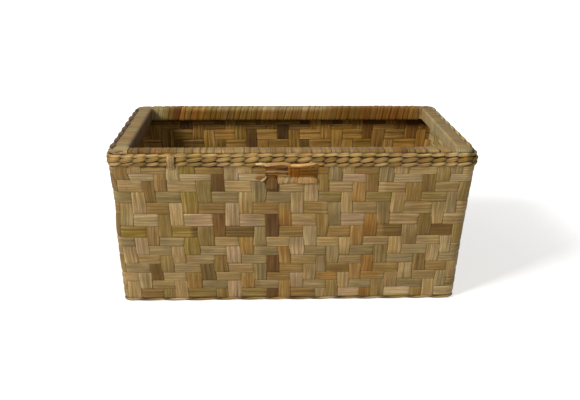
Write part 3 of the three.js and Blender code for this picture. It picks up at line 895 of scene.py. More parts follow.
def sectionLoop(width, height, radius, spacing):
    # loop round a rounded section from its lower outer corner, with outward normals; the straight stretches
    # have stations too, so that a slanted turn stays even
    corners, normals = [], []
    right, top = width - radius, height - radius
    centres = {-90: (right, radius), 0: (right, top), 90: (radius, top), 180: (radius, radius)}
    for start, centre in centres.items():
        for k in range(4):
            angle = math.radians(start + 30 * k)
            normals.append(np.array((math.cos(angle), math.sin(angle))))
            corners.append(np.array(centre) + radius * normals[-1])
    points, turned = [], []
    for k, (here, normal) in enumerate(zip(corners, normals)):
        ahead, nextNormal = (values[(k + 1) % len(values)] for values in (corners, normals))
        steps = max(1, int(round(np.linalg.norm(ahead - here) / spacing)))
        for t in np.arange(steps) / steps:
            points.append(here + (ahead - here) * t)
            between = normal + (nextNormal - normal) * t
            turned.append(between / np.linalg.norm(between))
    return np.array(points), np.array(turned)


def woundLeaf(rng, loop, normals, length, form, shift):
    # a leaf wound round a section: place along, out and up for both faces, turns and leaf widths
    strides = np.linalg.norm(np.roll(loop, -1, axis=0) - loop, axis=1)
    share = np.concatenate(([0], np.cumsum(strides)[:-1])) / strides.sum()
    perTurn = len(loop)
    turns = int(round(length / form["turn"])) + 2
    pitches = rng.uniform(1 - form["turnSpread"], 1 + form["turnSpread"], turns)
    pitches *= (length + 2 * form["turn"]) / pitches.sum()
    marks = np.concatenate(([0], np.cumsum(pitches))) - form["turn"]

    k = np.arange(turns * perTurn + 1)
    turned = share[k % perTurn]
    count = k // perTurn + turned
    halfWidth = form["cover"] / 2 * np.interp(count, np.arange(turns) + 0.5, pitches)
    centre = shift(np.interp(count, np.arange(turns + 1), marks), turned, loop[k % perTurn])
    start = np.maximum(centre - halfWidth, 0)
    end = np.minimum(centre + halfWidth, length)
    kept = end - start > 0.2 * mm
    k, count, start, end = k[kept], count[kept], start[kept], end[kept]
    v = rimColumns[None, :] * np.ones((len(k), 1))
    section = loop[k % perTurn]

    # each turn has its own folds, and its trailing edge lies on the turn before
    def perTurnRows(middle, spread, columns):
        values = rng.normal(middle, spread, (turns + 1, columns))
        return np.stack([np.interp(count, np.arange(turns + 1), column) for column in values.T], axis=1)

    folds = perTurnRows(0, form["fold"], len(rimColumns))
    swell = perTurnRows(0, form["swell"], 1)
    lift = -form["lap"] * 0.5 * v + form["crown"] * (leafCrown - v**2) + folds + swell - form["sink"]
    half = halfThickness(v, form["thickness"])
    outwards = normals[k % perTurn][:, None]
    outUp = [section[:, None] + outwards * (lift + face)[..., None] for face in (half, -half)]
    streaks = 1 + perTurnRows(0, form["streak"], len(rimColumns))
    streaks *= perTurnRows(1, form["tone"], 1)
    # painted shade: a dark line along each turn's raised edge, and along the edge tucked under the next
    streaks[:, 0] *= form["raisedEdgeShade"]
    streaks[:, 1] *= 0.5 + form["raisedEdgeShade"] / 2
    streaks[:, -2:] *= form["tuckedEdgeShade"]
    return {
        "place": start[:, None] + (v + 1) / 2 * (end - start)[:, None],
        "outUp": outUp,
        "v": v,
        "middle": ((marks[:-1] + marks[1:]) / 2).clip(0, length * 0.999)[(k // perTurn).clip(0, turns - 1)],
        "streaks": streaks,
        "section": section,
        "lengths": count * strides.sum(),
    }


def shadesOf(names, share):
    # colour of each station, from its share of the whole length
    return np.stack([shadeColours[name] for name in names])[(share * len(names)).astype(int)]


def makeRimWrap(side, seed):
    rng = np.random.default_rng(seed)
    low, high = (np.array(c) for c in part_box(f"rim_wrap_{side}"))
    alongX = side in ("front", "back")
    axis = 0 if alongX else 1
    length = high[axis] - low[axis]
    outwards = 1 if side in ("right", "back") else -1
    form = {**rimWrap, **rimSides[side]}
    form["tone"], form["streak"] = form["tone"] * form["contrast"], form["streak"] * form["contrast"]
    width = high[1 - axis] - low[1 - axis] + form["inwards"]
    innerEdge = (low[1 - axis] if outwards > 0 else high[1 - axis]) - outwards * form["inwards"]
    loop, normals = sectionLoop(width, high[2] - low[2], form["round"], form["spacing"])

    def shift(centre, turned, section):
        ahead = turned / form["slantShare"]
        back = (1 - turned) / (1 - form["slantShare"])
        moved = centre + form["slant"] * (np.minimum(ahead, back) - 0.5)
        for toEnd, direction, wanted in zip((centre, length - centre), (-1, 1), form["fans"]):
            near = smoothStep(1 - toEnd / form["fanLength"]) * wanted
            moved = moved + direction * form["fan"] * near * (section[:, 0] / width)
        return moved

    # wound from the right or the back end
    leaf = woundLeaf(rng, loop, normals, length, form, shift)
    place = high[axis] - leaf["place"]
    grids = []
    for outUp in leaf["outUp"]:
        plan = innerEdge + outwards * outUp[..., 0]
        parts = (place, plan, low[2] + outUp[..., 1]) if alongX else (plan, place, low[2] + outUp[..., 1])
        grids.append(np.stack(parts, axis=-1))

    tone = shadesOf(rimShades[side].split()[::-1], leaf["middle"] / length)
    begin, end = (share * width for share in form["innerShare"])
    inside = smoothStep((end - leaf["section"][:, 0]) / (end - begin))
    top = 1 - inside
    # back: painted light on part of the top, a little way down too; no painted shade inside at the left end
    if side == "back":
        inside = inside * smoothStep((length - leaf["middle"] - form["fadeStart"]) / form["fadeLength"])
        begin, end = (share * length for share in form["paintedLightSpan"])
        fromEnds = np.minimum(leaf["middle"] - begin, end - leaf["middle"])
        down = high[2] - low[2] - leaf["section"][:, 1]
        pale = smoothStep(fromEnds / form["fadeStart"])
        spill = pale * (1 - smoothStep(down / form["paintedLightDown"]))
        top = np.maximum(top * pale, inside * spill)
        inside = inside * (1 - spill)
    # painted shade on the inner face (painted light on the right side), and painted light on the top
    for part, tint in ((inside, "paintedInsideShading"), (top, "paintedTopLight")):
        tone = tone * (1 - part[:, None] * (1 - np.array(form[tint])))
    tone = tone * np.array(form["tint"]) * form["bright"]
    face = tone[:, None, :] * leaf["streaks"][..., None]
    return [leafStrip(grids, grainUv(leaf["lengths"], leaf["v"], form["turn"] / 2, rng), (face, face))]


for number, side in enumerate(rimSides):
    strips = makeRimWrap(side, seeds["rim"] + number)
    stripMesh(f"rimWrap{side.capitalize()}", strips, wrappedLeaf, [f"rim_wrap_{side}"])
    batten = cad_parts[f"rim_batten_{side}"]
    batten.data.materials.clear()
    batten.data.materials.append(pineWood)
print("rim wrapped")

# Corners of the rim: leaf folded round in a fan from the inner corner
rimCorner = {
    "rimLow": 1 * mm,  # the folds end this far above the rim's underside
    "tighter": 1 * mm,  # than the wall's corner
    "overlap": 1.12,
    "lift": 0.25 * mm,
    "lap": 0.45,  # of the rim's
    "leafLength": 60 * mm,
    "leafHalf": 3 * mm,
}
# Each corner: sides in X and Y, folds in the fan, strength of tone and shades
rimCorners = {
    "front_left": {"side": (-1, -1), "folds": 1, "bright": 1.5, "shades": "paleStraw paleGreen"},
    "front_right": {"side": (1, -1), "folds": 2, "bright": 1.2, "shades": "paleGreen straw"},
    "back_right": {"side": (1, 1), "folds": 3, "bright": 0.84, "shades": "pinkTan greyTan paleGreen"},
    "back_left": {"side": (-1, 1), "folds": 2, "bright": 1.0, "shades": "paleGreen greyTan paleGreen"},
}


def makeRimCorner(place, corner, seed):
    rng = np.random.default_rng(seed)
    rightLow, rightHigh = (np.array(c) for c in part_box("rim_wrap_right"))
    frontLow, frontHigh = (np.array(c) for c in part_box("rim_wrap_front"))
    sideX, sideY = corner["side"]
    shades = corner["shades"].split()
    inwards = rimSides["left" if sideX < 0 else "right"].get("inwards", 0)
    inner = np.array([rightLow[0] - inwards, -frontHigh[1]])
    size = np.array([rightHigh[0], -frontLow[1]]) - inner
    legX, legY = inner[0] - frontHigh[0], inner[1] - rightHigh[1]
    low, high = rightLow[2], rightHigh[2]
    radius = wall["cornerRadius"] - rimCorner["tighter"]
    r = rimWrap["round"]

    def outlineReach(direction):
        # from the inner corner to the rounded outer outline
        reach = min(s / max(d, 1e-6) for s, d in zip(size, direction))
        centre = size - radius
        if (direction * reach > centre).all():
            along = direction @ centre
            reach = along + math.sqrt(max(0, radius**2 - centre @ centre + along**2))
        return reach

    def sectionAt(angle, shift):
        # up the inner face, over the top and down the outer face
        direction = np.array([math.cos(angle), math.sin(angle)])
        reach = outlineReach(direction)
        bend = np.radians((30, 60, 90))
        across = [0, 0, 0, *(r - r * np.cos(bend)), *(r + (reach - 2 * r) * np.array((0.25, 0.5, 0.75, 1.0)))]
        across += [*(reach - r + r * np.sin(bend)), reach, reach]
        bottom, middle = low + rimCorner["rimLow"], (low + high) / 2
        up = [bottom, middle, high - r, *(high - r + r * np.sin(bend)), high, high, high, high]
        up += [*(high - r + r * np.cos(bend)), middle, bottom]
        plan = inner + shift + np.array(across)[:, None] * direction
        return np.concatenate((plan, np.array(up)[:, None]), axis=1)

    strips = []
    pieces = [("legX", 0)] + [("fan", k) for k in range(corner["folds"])] + [("legY", 0)]
    cuts = np.concatenate(([0], np.cumsum(rng.uniform(0.7, 1.3, corner["folds"]))))
    cuts = cuts / cuts[-1] * math.pi / 2
    v = rimColumns
    for kind, number in pieces:
        columns = []
        for t in (v * rimCorner["overlap"] + 1) / 2:
            if kind == "fan":
                angle = cuts[number] + (cuts[number + 1] - cuts[number]) * t
                columns.append(sectionAt(math.pi / 2 - min(max(angle, 0), math.pi / 2), np.zeros(2)))
            elif kind == "legX":
                columns.append(sectionAt(math.pi / 2, np.array([-legX * (1 - t), 0])))
            else:
                columns.append(sectionAt(0.0, np.array([0, -legY * (1 - t)])))
        middle = np.stack(columns, axis=1)
        down = np.gradient(middle, axis=0)
        over = np.gradient(middle, axis=1)
        over[:6] = over[6]  # at the inner corner all folds meet, so they take their width from the top
        normal = np.cross(down, over)
        centre = np.array([*(inner + size * 0.45), (low + high) / 2])
        normal *= np.sign(np.einsum("ijk,ijk->ij", normal, middle - centre))[..., None]
        normal /= np.maximum(np.linalg.norm(normal, axis=-1, keepdims=True), 1e-12)
        folds = rng.normal(0, rimWrap["fold"], len(v))
        lift = rimWrap["lap"] * rimCorner["lap"] * v + rimWrap["crown"] * (leafCrown - v**2)
        lift = lift + folds + rimCorner["lift"] * 0.5
        spread = np.linspace(0.3, 1, len(middle))[:, None]
        half = halfThickness(v, rimWrap["thickness"])
        mirror = np.array([sideX, sideY, 1])
        grids = [(middle + normal * (lift * spread + face)[..., None]) * mirror for face in (half, -half)]
        base = shadeColours[shades[number % len(shades)]] * corner["bright"]
        tone = tonesAlong(rng, len(middle), base, shades, patch=6, strength=0.06)
        streaks = 1 + rng.normal(0, rimWrap["streak"], len(v))
        # painted shade along both edges of each fold
        streaks[[0, -1]] *= rimWrap["raisedEdgeShade"]
        face = tone[:, None, :] * streaks[None, :, None]
        lengths = np.linspace(0, rimCorner["leafLength"], len(middle))
        uv = grainUv(lengths, v[None, :] * np.ones((len(middle), 1)), rimCorner["leafHalf"], rng)
        strips.append(leafStrip(grids, uv, (face, face)))
    name = "rimCorner" + place.title().replace("_", "")
    stripMesh(name, strips, wrappedLeaf, [f"rim_corner_{place}"])


for number, (place, corner) in enumerate(rimCorners.items()):
    makeRimCorner(place, corner, seeds["corners"] + number)
print("rim corners folded")

# Twined rows: two soft strands that change places between the stakes
strandForm = {
    "columns": 24,
    "twist": 0.16,  # radians that the folds wind on at each station
    "girth": 16 * mm,
    # painted shade in the grooves of the twisted leaf
    "grooveShade": 0.36,
    "endShare": 0.35,  # thickness left at the tip of an open row
    "turnWander": 0.12,
    "sizeWander": 0.17,
    "heightWander": 0.5 * mm,
    "leafTone": 0.09,
    "oddLeaves": 0.3,  # share of lobes where the next leaf is laid in early
    "behindShade": 0.14,  # painted shade where a strand goes behind
    "topLight": 0.26,
}


def strandTube(path, radii, grooves, rng, tone, closed, grooveDepth):
    # path (n, 3), radii (n, 2) outwards and upwards; the folds of the leaf wind slowly round the strand
    tangent = np.roll(path, -1, axis=0) - np.roll(path, 1, axis=0) if closed else np.gradient(path, axis=0)
    tangent /= np.linalg.norm(tangent, axis=1, keepdims=True)
    out = np.cross(tangent, np.array([0, 0, 1.0]))
    out /= np.linalg.norm(out, axis=1, keepdims=True)
    top = np.cross(out, tangent)
    top *= np.sign(top[:, 2:3])
    angle = np.arange(strandForm["columns"]) / strandForm["columns"] * 2 * math.pi
    twist = np.arange(len(path))[:, None] * strandForm["twist"] + rng.uniform(0, 2 * math.pi)
    wave = 0.5 + 0.5 * np.cos(grooves * angle[None, :] + twist)
    groove = 1 - grooveDepth * wave
    across = np.cos(angle)[None, :] * groove * radii[:, :1]
    high = np.sin(angle)[None, :] * groove * radii[:, 1:]
    points = path[:, None, :] + out[:, None, :] * across[..., None] + top[:, None, :] * high[..., None]
    start = rng.uniform(0, grainRange, 2)
    around = angle / (2 * math.pi) * strandForm["girth"]
    along = lengthsAlong(path, closed)
    uv = np.stack(np.broadcast_arrays(along[:, None] + start[0], around[None, :] + start[1]), axis=-1)
    # painted shade in the grooves
    shaded = tone[:, None, :] * (1 - strandForm["grooveShade"] * wave**2)[..., None]
    return {"points": points, "uv": uv, "tone": shaded, "closed": closed}


def twinedRow(name, shape):
    node, shades = shape["node"], shape["shades"]
    rng = np.random.default_rng(shape["seed"])
    low, high = (np.array(c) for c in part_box(node))
    steps, span, period = shape["stepsPerStake"], shape["span"], shape["stakesPerLobe"]
    first, last = span or (0, stakeCount)
    w = np.arange(first * steps, last * steps + bool(span)) / steps
    ends = smoothStep(np.minimum(w - w[0], w[-1] - w) / shape["taper"]) if shape["taper"] else 1
    ends = strandForm["endShare"] + (1 - strandForm["endShare"]) * ends
    turn = np.mod(w, stakeCount)
    droop = np.interp(turn, borderDroop[0], borderDroop[1]) * shape["droopShare"] * mm
    middle = (high[2] + low[2]) / 2 + shape["raise"]
    strips = []
    sizeWander = wander(rng, stakeCount, (5, 9, 14, 22, 31, 40), 1.0)
    heightWander = wander(rng, stakeCount, (4, 7, 12, 19), strandForm["heightWander"])
    for strand in range(2):
        phase = math.pi * (w / period + strand + strandForm["turnWander"] * sizeWander(w))
        # a strand shows as a plump lobe in front, and goes behind as a thin twist
        front = np.clip((np.cos(phase) + 0.25) / 1.25, 0, 1) ** shape["fullness"]
        swell = 1 + strandForm["sizeWander"] * sizeWander(w + 5 * strand)
        reach = shape["back"] + (shape["out"] - shape["back"]) * (0.5 + 0.5 * np.cos(phase)) ** 0.8
        rise = shape["rise"] * np.sin(phase)
        size = (shape["waist"] + (1 - shape["waist"]) * front) * swell * ends
        radii = np.stack((shape["thick"] * size, shape["tall"] * size), axis=1)
        path = wallPoints(placeOf(w), middle + rise + heightWander(w) - droop, reach)
        # a leaf lasts a few lobes, then the next is laid in
        lobe = np.floor(w / period / 2 + 0.5 * strand + 0.25).astype(int)
        picks = [drawn(rng, shades) for k in range(2 + lobe.max())]
        odd = strandForm["oddLeaves"]
        picks = [picks[k - k % 2 + (1 if rng.uniform() < odd else 0)] for k in range(len(picks) - 1)]
        lightness = rng.normal(1, strandForm["leafTone"], (len(picks), 1))
        colours = np.stack([shadeColours[pick] for pick in picks]) * lightness
        tone = colours[lobe.clip(0, len(picks) - 1)]
        for begin, end, tint in twineZones + shape["zones"]:
            tone = np.where(((turn > begin) & (turn < end))[:, None], tone * np.array(tint), tone)
        # painted shade where the strand goes behind, and a painted highlight on each lobe's upper side
        lit = strandForm["behindShade"] + (1 - strandForm["behindShade"]) * front
        lit = lit * (1 + strandForm["topLight"] * np.sin(phase) * front)
        tone = tone * lit[:, None] * shape["bright"] * np.array(shape["tint"])
        strips.append(strandTube(path, radii, shape["grooves"], rng, tone, not span, shape["grooveDepth"]))
    stripMesh(name, strips, twistedLeaf, [node])


twineZones = [(72, 87.2, (0.62, 0.52, 0.42))]  # stakes and tint: darker and browner along the left side
cornerZone = (26.2, 28.4, (0.56, 0.58, 0.44))
paleZone = (24.7, 25.8, (1.20, 1.28, 1.5))
borderDroop = ((0, 9, 17, 27, 32), (0, 0.2, 1.1, 1.3, 0))  # stakes, and mm that the border hangs lower
twineMix = """straw straw paleStraw tan tan olive tan brownTan straw straw paleStraw brownTan""".split()
topMix = ["paleStraw", "straw", "tan", "paleStraw", "pinkTan"]
baseMix = ["pinkTan", "tan", "brownTan", "pinkTan", "brownTan"]

# What the rows of the border share, and each row; an open row lies between two stakes
borderStrands = {
    "node": "border_twine_upper", "shades": twineMix, "span": None, "taper": None, "droopShare": 1,
    "zones": [], "stakesPerLobe": 1, "stepsPerStake": 12, "fullness": 0.5, "waist": 0.30,
    "grooves": 4, "grooveDepth": 0.24, "bright": 1.31, "tint": (1.0, 0.93, 0.76),
}
# At both ends the top row rides up on the edge of the rim, in longer and plumper strands
endStrands = {
    **borderStrands, "shades": topMix, "taper": 1.2, "raise": 7.2 * mm, "rise": 0.5 * mm,
    "stakesPerLobe": 2, "stepsPerStake": 10, "fullness": 0.6, "waist": 0.5, "grooveDepth": 0.22,
}
twinedRows = {
    "borderTwineUpper": {
        **borderStrands, "seed": 51, "zones": [cornerZone, paleZone], "raise": -1.6 * mm, "rise": 1.1 * mm,
        "back": 1.0 * mm, "out": 2.9 * mm, "thick": 2.1 * mm, "tall": 2.75 * mm, "grooves": 5,
    },
    "borderTwineLower": {
        **borderStrands, "seed": 52, "node": "border_twine_lower", "zones": [paleZone],
        "span": (slotLast, wall["slotFirst"] + stakeCount), "raise": 0.9 * mm, "rise": 0.9 * mm,
        "back": 0.8 * mm, "out": 2.5 * mm, "thick": 1.8 * mm, "tall": 2.1 * mm,
    },
    "borderTwineTop": {
        **borderStrands, "seed": 53, "shades": topMix, "zones": [cornerZone, paleZone], "droopShare": 0,
        "stepsPerStake": 10, "raise": 2.7 * mm, "rise": 0.4 * mm, "back": 0.6 * mm, "out": 2.1 * mm,
        "thick": 1.6 * mm, "tall": 2.1 * mm, "fullness": 0.4, "waist": 0.5,
        "grooves": 3, "grooveDepth": 0.15, "bright": 1.46, "tint": (1.0, 0.94, 0.80),
    },
    "borderTwineLeftEnd": {
        **endStrands, "seed": 56, "span": (71.8, 88.6), "back": -2.4 * mm, "out": -0.9 * mm,
        "thick": 3.3 * mm, "tall": 2.2 * mm, "bright": 0.95, "tint": (1.0, 0.98, 0.95),
    },
    "borderTwineRightEnd": {
        **endStrands, "seed": 57, "span": (26.8, 43.6), "droopShare": 0, "back": -2.6 * mm, "out": -1.9 * mm,
        "thick": 2.2 * mm, "tall": 1.7 * mm, "bright": 1.45, "tint": (1.0, 1.03, 1.0),
    },
    "baseTwine": {
        **borderStrands, "seed": 54, "node": "base_twine", "shades": baseMix, "droopShare": 0,
        "stakesPerLobe": 2, "stepsPerStake": 8, "raise": 0.05 * mm, "rise": 0.7 * mm,
        "back": 0.9 * mm, "out": 2.0 * mm, "thick": 1.15 * mm, "tall": 1.45 * mm, "fullness": 0.6,
        "waist": 0.45, "grooves": 3, "grooveDepth": 0.15, "bright": 1.22, "tint": (1.0, 1.0, 1.0),
    },
}
for name, shape in twinedRows.items():
    twinedRow(name, shape)

# A leaf tied round the border at its left
borderTie = {
    "stake": 4.42,
    "half": 4.2 * mm,
    "thickness": 0.6 * mm,
    "bulge": 0.5 * mm,
    "pleat": 0.14 * mm,
    "pleatShading": 0.16,
    "edgeShade": 0.6,
    "shade": "straw",
    "bright": 1.04,
    # heights and how far out in mm, and width as a share
    "profile": [
        (158.0, 1.2, 1.10), (160.4, 3.2, 1.04), (162.6, 5.0, 0.94), (164.6, 4.6, 0.86), (166.6, 5.4, 0.95),
        (168.8, 6.0, 1.02), (170.8, 5.2, 1.0), (172.6, 4.0, 0.96), (174.0, 2.2, 0.9),
    ],
}


def makeBorderTie(tie, rng):
    z, out, width = (np.array(column)[:, None] for column in zip(*tie["profile"]))
    z, out = z * mm, out * mm
    v = rimColumns[None, :] * np.ones((len(z), 1))
    w = tie["stake"] + v * width * tie["half"] / frontPitch / mm
    pleats = np.where(np.arange(len(rimColumns)) % 2 == 0, 1.0, -1.0)
    bulge = tie["bulge"] * (1 - v**2) + tie["pleat"] * pleats
    half = halfThickness(v, tie["thickness"])
    grids = [wallPoints(placeOf(w), z + 0 * v, out + bulge + face) for face in (half, -half)]
    base = shadeColours[tie["shade"]]
    tone = tonesAlong(rng, len(z), base, [tie["shade"]], patch=4, strength=0.08) * tie["bright"]
    # painted highlight on raised pleats, painted shade on sunk ones and along the edges
    streaks = 1 + tie["pleatShading"] * pleats[None, :, None] + rng.normal(0, 0.06, (1, len(rimColumns), 1))
    streaks[:, [0, -1]] *= tie["edgeShade"]
    face = tone[:, None, :] * streaks
    lengths = np.linspace(0, z[-1, 0] - z[0, 0], len(z))
    return [leafStrip(grids, grainUv(lengths, v, tie["half"], rng), (face, face))]


tieStrips = makeBorderTie(borderTie, np.random.default_rng(seeds["tie"]))
stripMesh("borderTie", tieStrips, wrappedLeaf, ["border_twine_upper"])
print("twined rows made")

# Over the slot the border's strands run long and loose; under it the sill is wound with pale leaf
slotStrands = [
    # stakes from the slot's left, height and offset in mm at stations along the strand; then half its
    # thickness and height in mm, its shade and the strength of it
    ([(-0.15, 162.0, 2.6), (0.5, 163.8, 3.6), (1.4, 164.9, 3.7), (2.15, 162.4, 2.4)],
     1.7, 2.0, "rosyStraw", 1.52),
    ([(1.85, 162.2, 2.6), (2.6, 162.3, 3.9), (3.3, 163.4, 4.0), (3.85, 164.3, 2.8)],
     1.5, 1.6, "rosyStraw", 1.95),
    ([(-0.75, 163.6, 3.2), (-0.35, 164.4, 4.3), (0.15, 163.6, 3.4)], 1.5, 1.6, "paleStraw", 2.0),
    ([(-0.3, 162.4, 1.0), (2, 161.6, 1.2), (4.4, 162.2, 1.0)], 1.3, 1.5, "brownTan", 1.0),
    ([(3.3, 165.6, 2.2), (3.9, 164.4, 2.6), (4.5, 162.6, 2.0)], 1.3, 1.5, "straw", 1.1),
    ([(-0.15, 160.2, -1.4), (0.8, 160.0, -0.9), (1.75, 160.1, -1.4)], 0.5, 2.3, "rust", 1.2),
    ([(-0.3, 154.2, 0.2), (0.8, 154.6, 0.4), (1.9, 153.8, -0.4)], 0.7, 1.3, "rosyStraw", 0.85),
    ([(-0.1, 151.6, -1.0), (0.9, 151.0, -1.2), (1.7, 151.2, -1.6)], 0.5, 1.4, "orangeBrown", 1.0),
    ([(0.9, 149.0, -0.6), (1.5, 149.3, -0.6), (2.0, 148.8, -1.0)], 0.7, 1.2, "olive", 1.0),
    ([(-0.75, 146.6, 1.2), (-0.60, 148.6, 2.4), (-0.30, 148.6, 2.6), (-0.05, 146.0, 2.6), (-0.2, 143.6, 1.6)],
     1.3, 1.4, "rust", 1.25),
    ([(-0.38, 144.2, 2.4), (-0.20, 146.0, 3.6), (-0.02, 147.6, 3.6), (0.1, 149.4, 1.2)],
     1.0, 1.2, "paleStraw", 1.55),
]
looseStrand = {"stations": 28, "smoothings": 4, "grooves": 4, "grooveDepth": 0.2, "tip": 0.3, "swell": 0.12}
slotSill = {
    "span": (0.92, 2.5),  # stakes from the slot's left
    "low": 141.6 * mm,
    "high": 147.7 * mm,
    "halfDepth": 2.4 * mm,
    "round": 1.7 * mm,
    "spacing": 2 * mm,
    "bright": 0.95,
    "shades": ["rosyStraw", "paleStraw", "straw", "rosyStraw"],
}
slotLeaf = {
    "turn": 4.4 * mm, "turnSpread": 0.5, "cover": 1.35, "lap": 0.7 * mm, "crown": 0.35 * mm,
    "fold": 0.22 * mm, "swell": 0.38 * mm, "thickness": 0.5 * mm, "sink": 0.2 * mm,
    "tone": 0.09, "streak": 0.08, "raisedEdgeShade": 0.66, "tuckedEdgeShade": 0.80,
}
slotFolds = [
    # leaf ends turned over the sill: place in stakes, half width, heights outside, over and inside, how far
    # it stands off, all mm; then its shade and the strength of it
    (0.46, 6.2, (134.6, 147.4, 142.0), 2.6, "deepBrown", 1.02),
    (3.15, 12.0, (141.2, 147.8, 142.0), 2.3, "rosyStraw", 0.84),
]
foldWidths = np.array([1, 1, 1, 0.97, 0.86, 0.66, 0.56, 0.66, 0.86, 0.97, 1, 1])  # narrower at the bend
foldForm = {"bend": 2.0, "bulge": 0.5, "uneven": 0.1, "raise": 0.3 * mm, "tone": 0.07, "leafLength": 24 * mm}


def makeSlot():
    rng = np.random.default_rng(seeds["slot"])
    strips = []
    base = wall["slotFirst"]
    t = np.linspace(0, 1, looseStrand["stations"])
    for knots, thick, tall, shade, bright in slotStrands:
        at = np.linspace(0, 1, len(knots))
        stakes, heights, offsets = (np.interp(t, at, column) for column in zip(*knots))
        for column in (stakes, heights, offsets):
            for smoothing in range(looseStrand["smoothings"]):
                column[1:-1] = (column[:-2] + 2 * column[1:-1] + column[2:]) / 4
        swell = 1 + wander(rng, 1.5, (3, 5), looseStrand["swell"])(t)
        taper = np.minimum(1, looseStrand["tip"] + 6 * np.minimum(t, 1 - t)) * swell
        radii = np.stack((thick * taper, tall * taper), axis=1) * mm
        tone = tonesAlong(rng, len(t), shadeColours[shade], twineMix, patch=12, strength=0.06) * bright
        path = wallPoints(placeOf(base + stakes), heights * mm, offsets * mm)
        grooves, depth = looseStrand["grooves"], looseStrand["grooveDepth"]
        strips.append(strandTube(path, radii, grooves, rng, tone, False, depth))

    # a pale leaf wound along the sill in uneven turns
    pitch = 2 * topHalf[0] / wall["longStakes"]
    first, last = slotSill["span"]
    height = slotSill["high"] - slotSill["low"]
    loop, normals = sectionLoop(2 * slotSill["halfDepth"], height, slotSill["round"], slotSill["spacing"])
    length = (last - first) * pitch
    leaf = woundLeaf(rng, loop, normals, length, slotLeaf, lambda centre, turned, section: centre)
    place = placeOf(base + first + leaf["place"] / pitch)
    grids = [
        wallPoints(place, slotSill["low"] + outUp[..., 1], outUp[..., 0] - slotSill["halfDepth"])
        for outUp in leaf["outUp"]
    ]
    tone = shadesOf(slotSill["shades"], leaf["middle"] / length)
    face = tone[:, None, :] * leaf["streaks"][..., None] * slotSill["bright"]
    uv = grainUv(leaf["lengths"], leaf["v"], slotLeaf["turn"] / 2, rng)
    strips.append(leafStrip(grids, uv, (face, face)))

    for at, halfWidth, (foot, top, inside), out, shade, bright in slotFolds:
        # up the outside, over the sill and down the inside
        bend = np.radians((0, 30, 60, 90, 120, 150, 180))
        offset = np.array([out, out, out, *(out * np.cos(bend)), -out, -out])[:, None]
        z = [foot, (foot + top) / 2, top - 3.2, *(top - foldForm["bend"] + foldForm["bend"] * np.sin(bend))]
        z += [(inside + top) / 2, inside]
        v = rimColumns[None, :] * np.ones((len(z), 1))
        place = placeOf(base + at + v * (foldWidths * halfWidth * mm)[:, None] / pitch)
        uneven = rng.normal(0, foldForm["uneven"], (1, len(rimColumns)))
        way = np.sign(offset)
        stand = (offset + (foldForm["bulge"] * (1 - v**2) + uneven) * way) * mm
        half = halfThickness(v, slotLeaf["thickness"])
        heights = np.array(z)[:, None] * mm + 0 * v
        grids = [
            wallPoints(place, heights + foldForm["raise"] * side, stand + side * half * way)
            for side in (1, -1)
        ]
        tone = tonesAlong(rng, len(z), shadeColours[shade] * bright, [shade], patch=6, strength=0.07)
        face = tone[:, None, :] * (1 + rng.normal(0, foldForm["tone"], (1, len(rimColumns), 1)))
        lengths = np.linspace(0, foldForm["leafLength"], len(z))
        strips.append(leafStrip(grids, grainUv(lengths, v, halfWidth * mm, rng), (face, face)))
    return strips


stripMesh("slotBinding", makeSlot(), twistedLeaf, ["slot_binding"])
print("slot bound")

# Studio: pale floor and soft light
studio = {
    "floorColour": "#eeedea",
    "floorHalf": 30,  # metres
    "floorGlow": (0.60, 1.0),  # beside the basket and far away
    "glowReach": (0.30, 1.1),  # metres from the basket
    "worldLight": 0.21,
    "worldColour": (1, 0.985, 0.96, 1),
    "keyPlace": (-2.6, -2.0, 2.2),
    "keySize": 1.2,
    "keyPower": 150,
    "fillPlace": (1.3, -1.8, 0.8),
    "fillSize": 1.2,
    "fillPower": 8,
    "aim": (0, 0, 0.09),
}


def raysThatSee(tree):
    # camera, glossy and transmission rays, which all show the bright backdrop
    rays = addNode(tree, "LightPath").outputs
    links = {0: rays["Is Camera Ray"], 1: rays["Is Transmission Ray"]}
    links[0] = addNode(tree, "Math", {"operation": "MAXIMUM"}, links).outputs["Value"]
    links[1] = rays["Is Glossy Ray"]
    return addNode(tree, "Math", {"operation": "MAXIMUM"}, links).outputs["Value"]


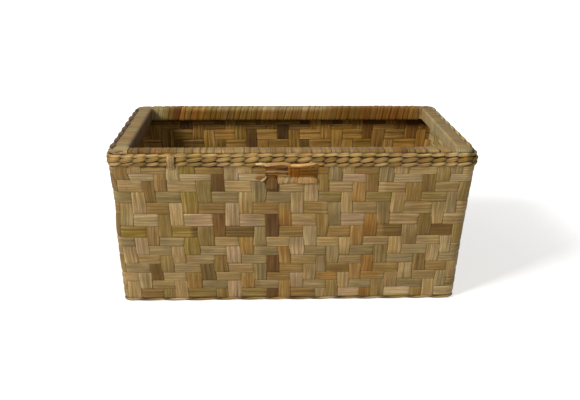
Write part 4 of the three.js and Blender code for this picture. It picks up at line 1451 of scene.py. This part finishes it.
def makeStudio():
    scene = bpy.context.scene
    scene.view_settings.view_transform = "Standard"
    world = bpy.data.worlds.new("studioWorld")
    scene.world = world
    world.use_nodes = True
    tree = world.node_tree
    tree.nodes.clear()
    light = addNode(tree, "Background", {"Color": studio["worldColour"], "Strength": studio["worldLight"]})
    white = addNode(tree, "Background", {"Color": (1, 1, 1, 1), "Strength": 1.0})
    mix = addNode(tree, "MixShader", {}, {0: raysThatSee(tree), 1: light.outputs[0], 2: white.outputs[0]})
    addNode(tree, "OutputWorld", {}, {"Surface": mix.outputs[0]})

    paint = emptyMaterial("paleFloor")
    tree = paint.node_tree
    matte = addNode(tree, "BsdfDiffuse", {"Color": (*linearColour(studio["floorColour"]), 1)})
    spot = addNode(tree, "TexCoord")
    away = addNode(tree, "VectorMath", {"operation": "LENGTH"}, {0: spot.outputs["Object"]})
    limits = (*studio["glowReach"], *studio["floorGlow"])
    settings = dict(zip(("From Min", "From Max", "To Min", "To Max"), limits))
    glowing = addNode(tree, "MapRange", settings, {"Value": away.outputs["Value"]})
    glow = addNode(tree, "Emission", {"Color": (1, 1, 1, 1)}, {"Strength": glowing.outputs["Result"]})
    both = addNode(tree, "AddShader", {}, {0: matte.outputs[0], 1: glow.outputs[0]})
    mix = addNode(tree, "MixShader", {}, {0: raysThatSee(tree), 1: matte.outputs[0], 2: both.outputs[0]})
    addNode(tree, "OutputMaterial", {}, {"Surface": mix.outputs[0]})
    size = studio["floorHalf"]
    mesh = bpy.data.meshes.new("studioFloor")
    corners = [(-size, -size, 0), (size, -size, 0), (size, size, 0), (-size, size, 0)]
    mesh.from_pydata(corners, [], [(0, 1, 2, 3)])
    mesh.materials.append(paint)
    floor = bpy.data.objects.new("studioFloor", mesh)
    scene.collection.objects.link(floor)

    for name in ("key", "fill"):
        data = bpy.data.lights.new(name + "Light", "AREA")
        data.size = studio[name + "Size"]
        data.energy = studio[name + "Power"]
        lamp = bpy.data.objects.new(name + "Light", data)
        lamp.location = studio[name + "Place"]
        aim = Vector(studio["aim"]) - lamp.location
        lamp.rotation_euler = aim.to_track_quat("-Z", "Y").to_euler()
        scene.collection.objects.link(lamp)


makeStudio()
print("studio lit")
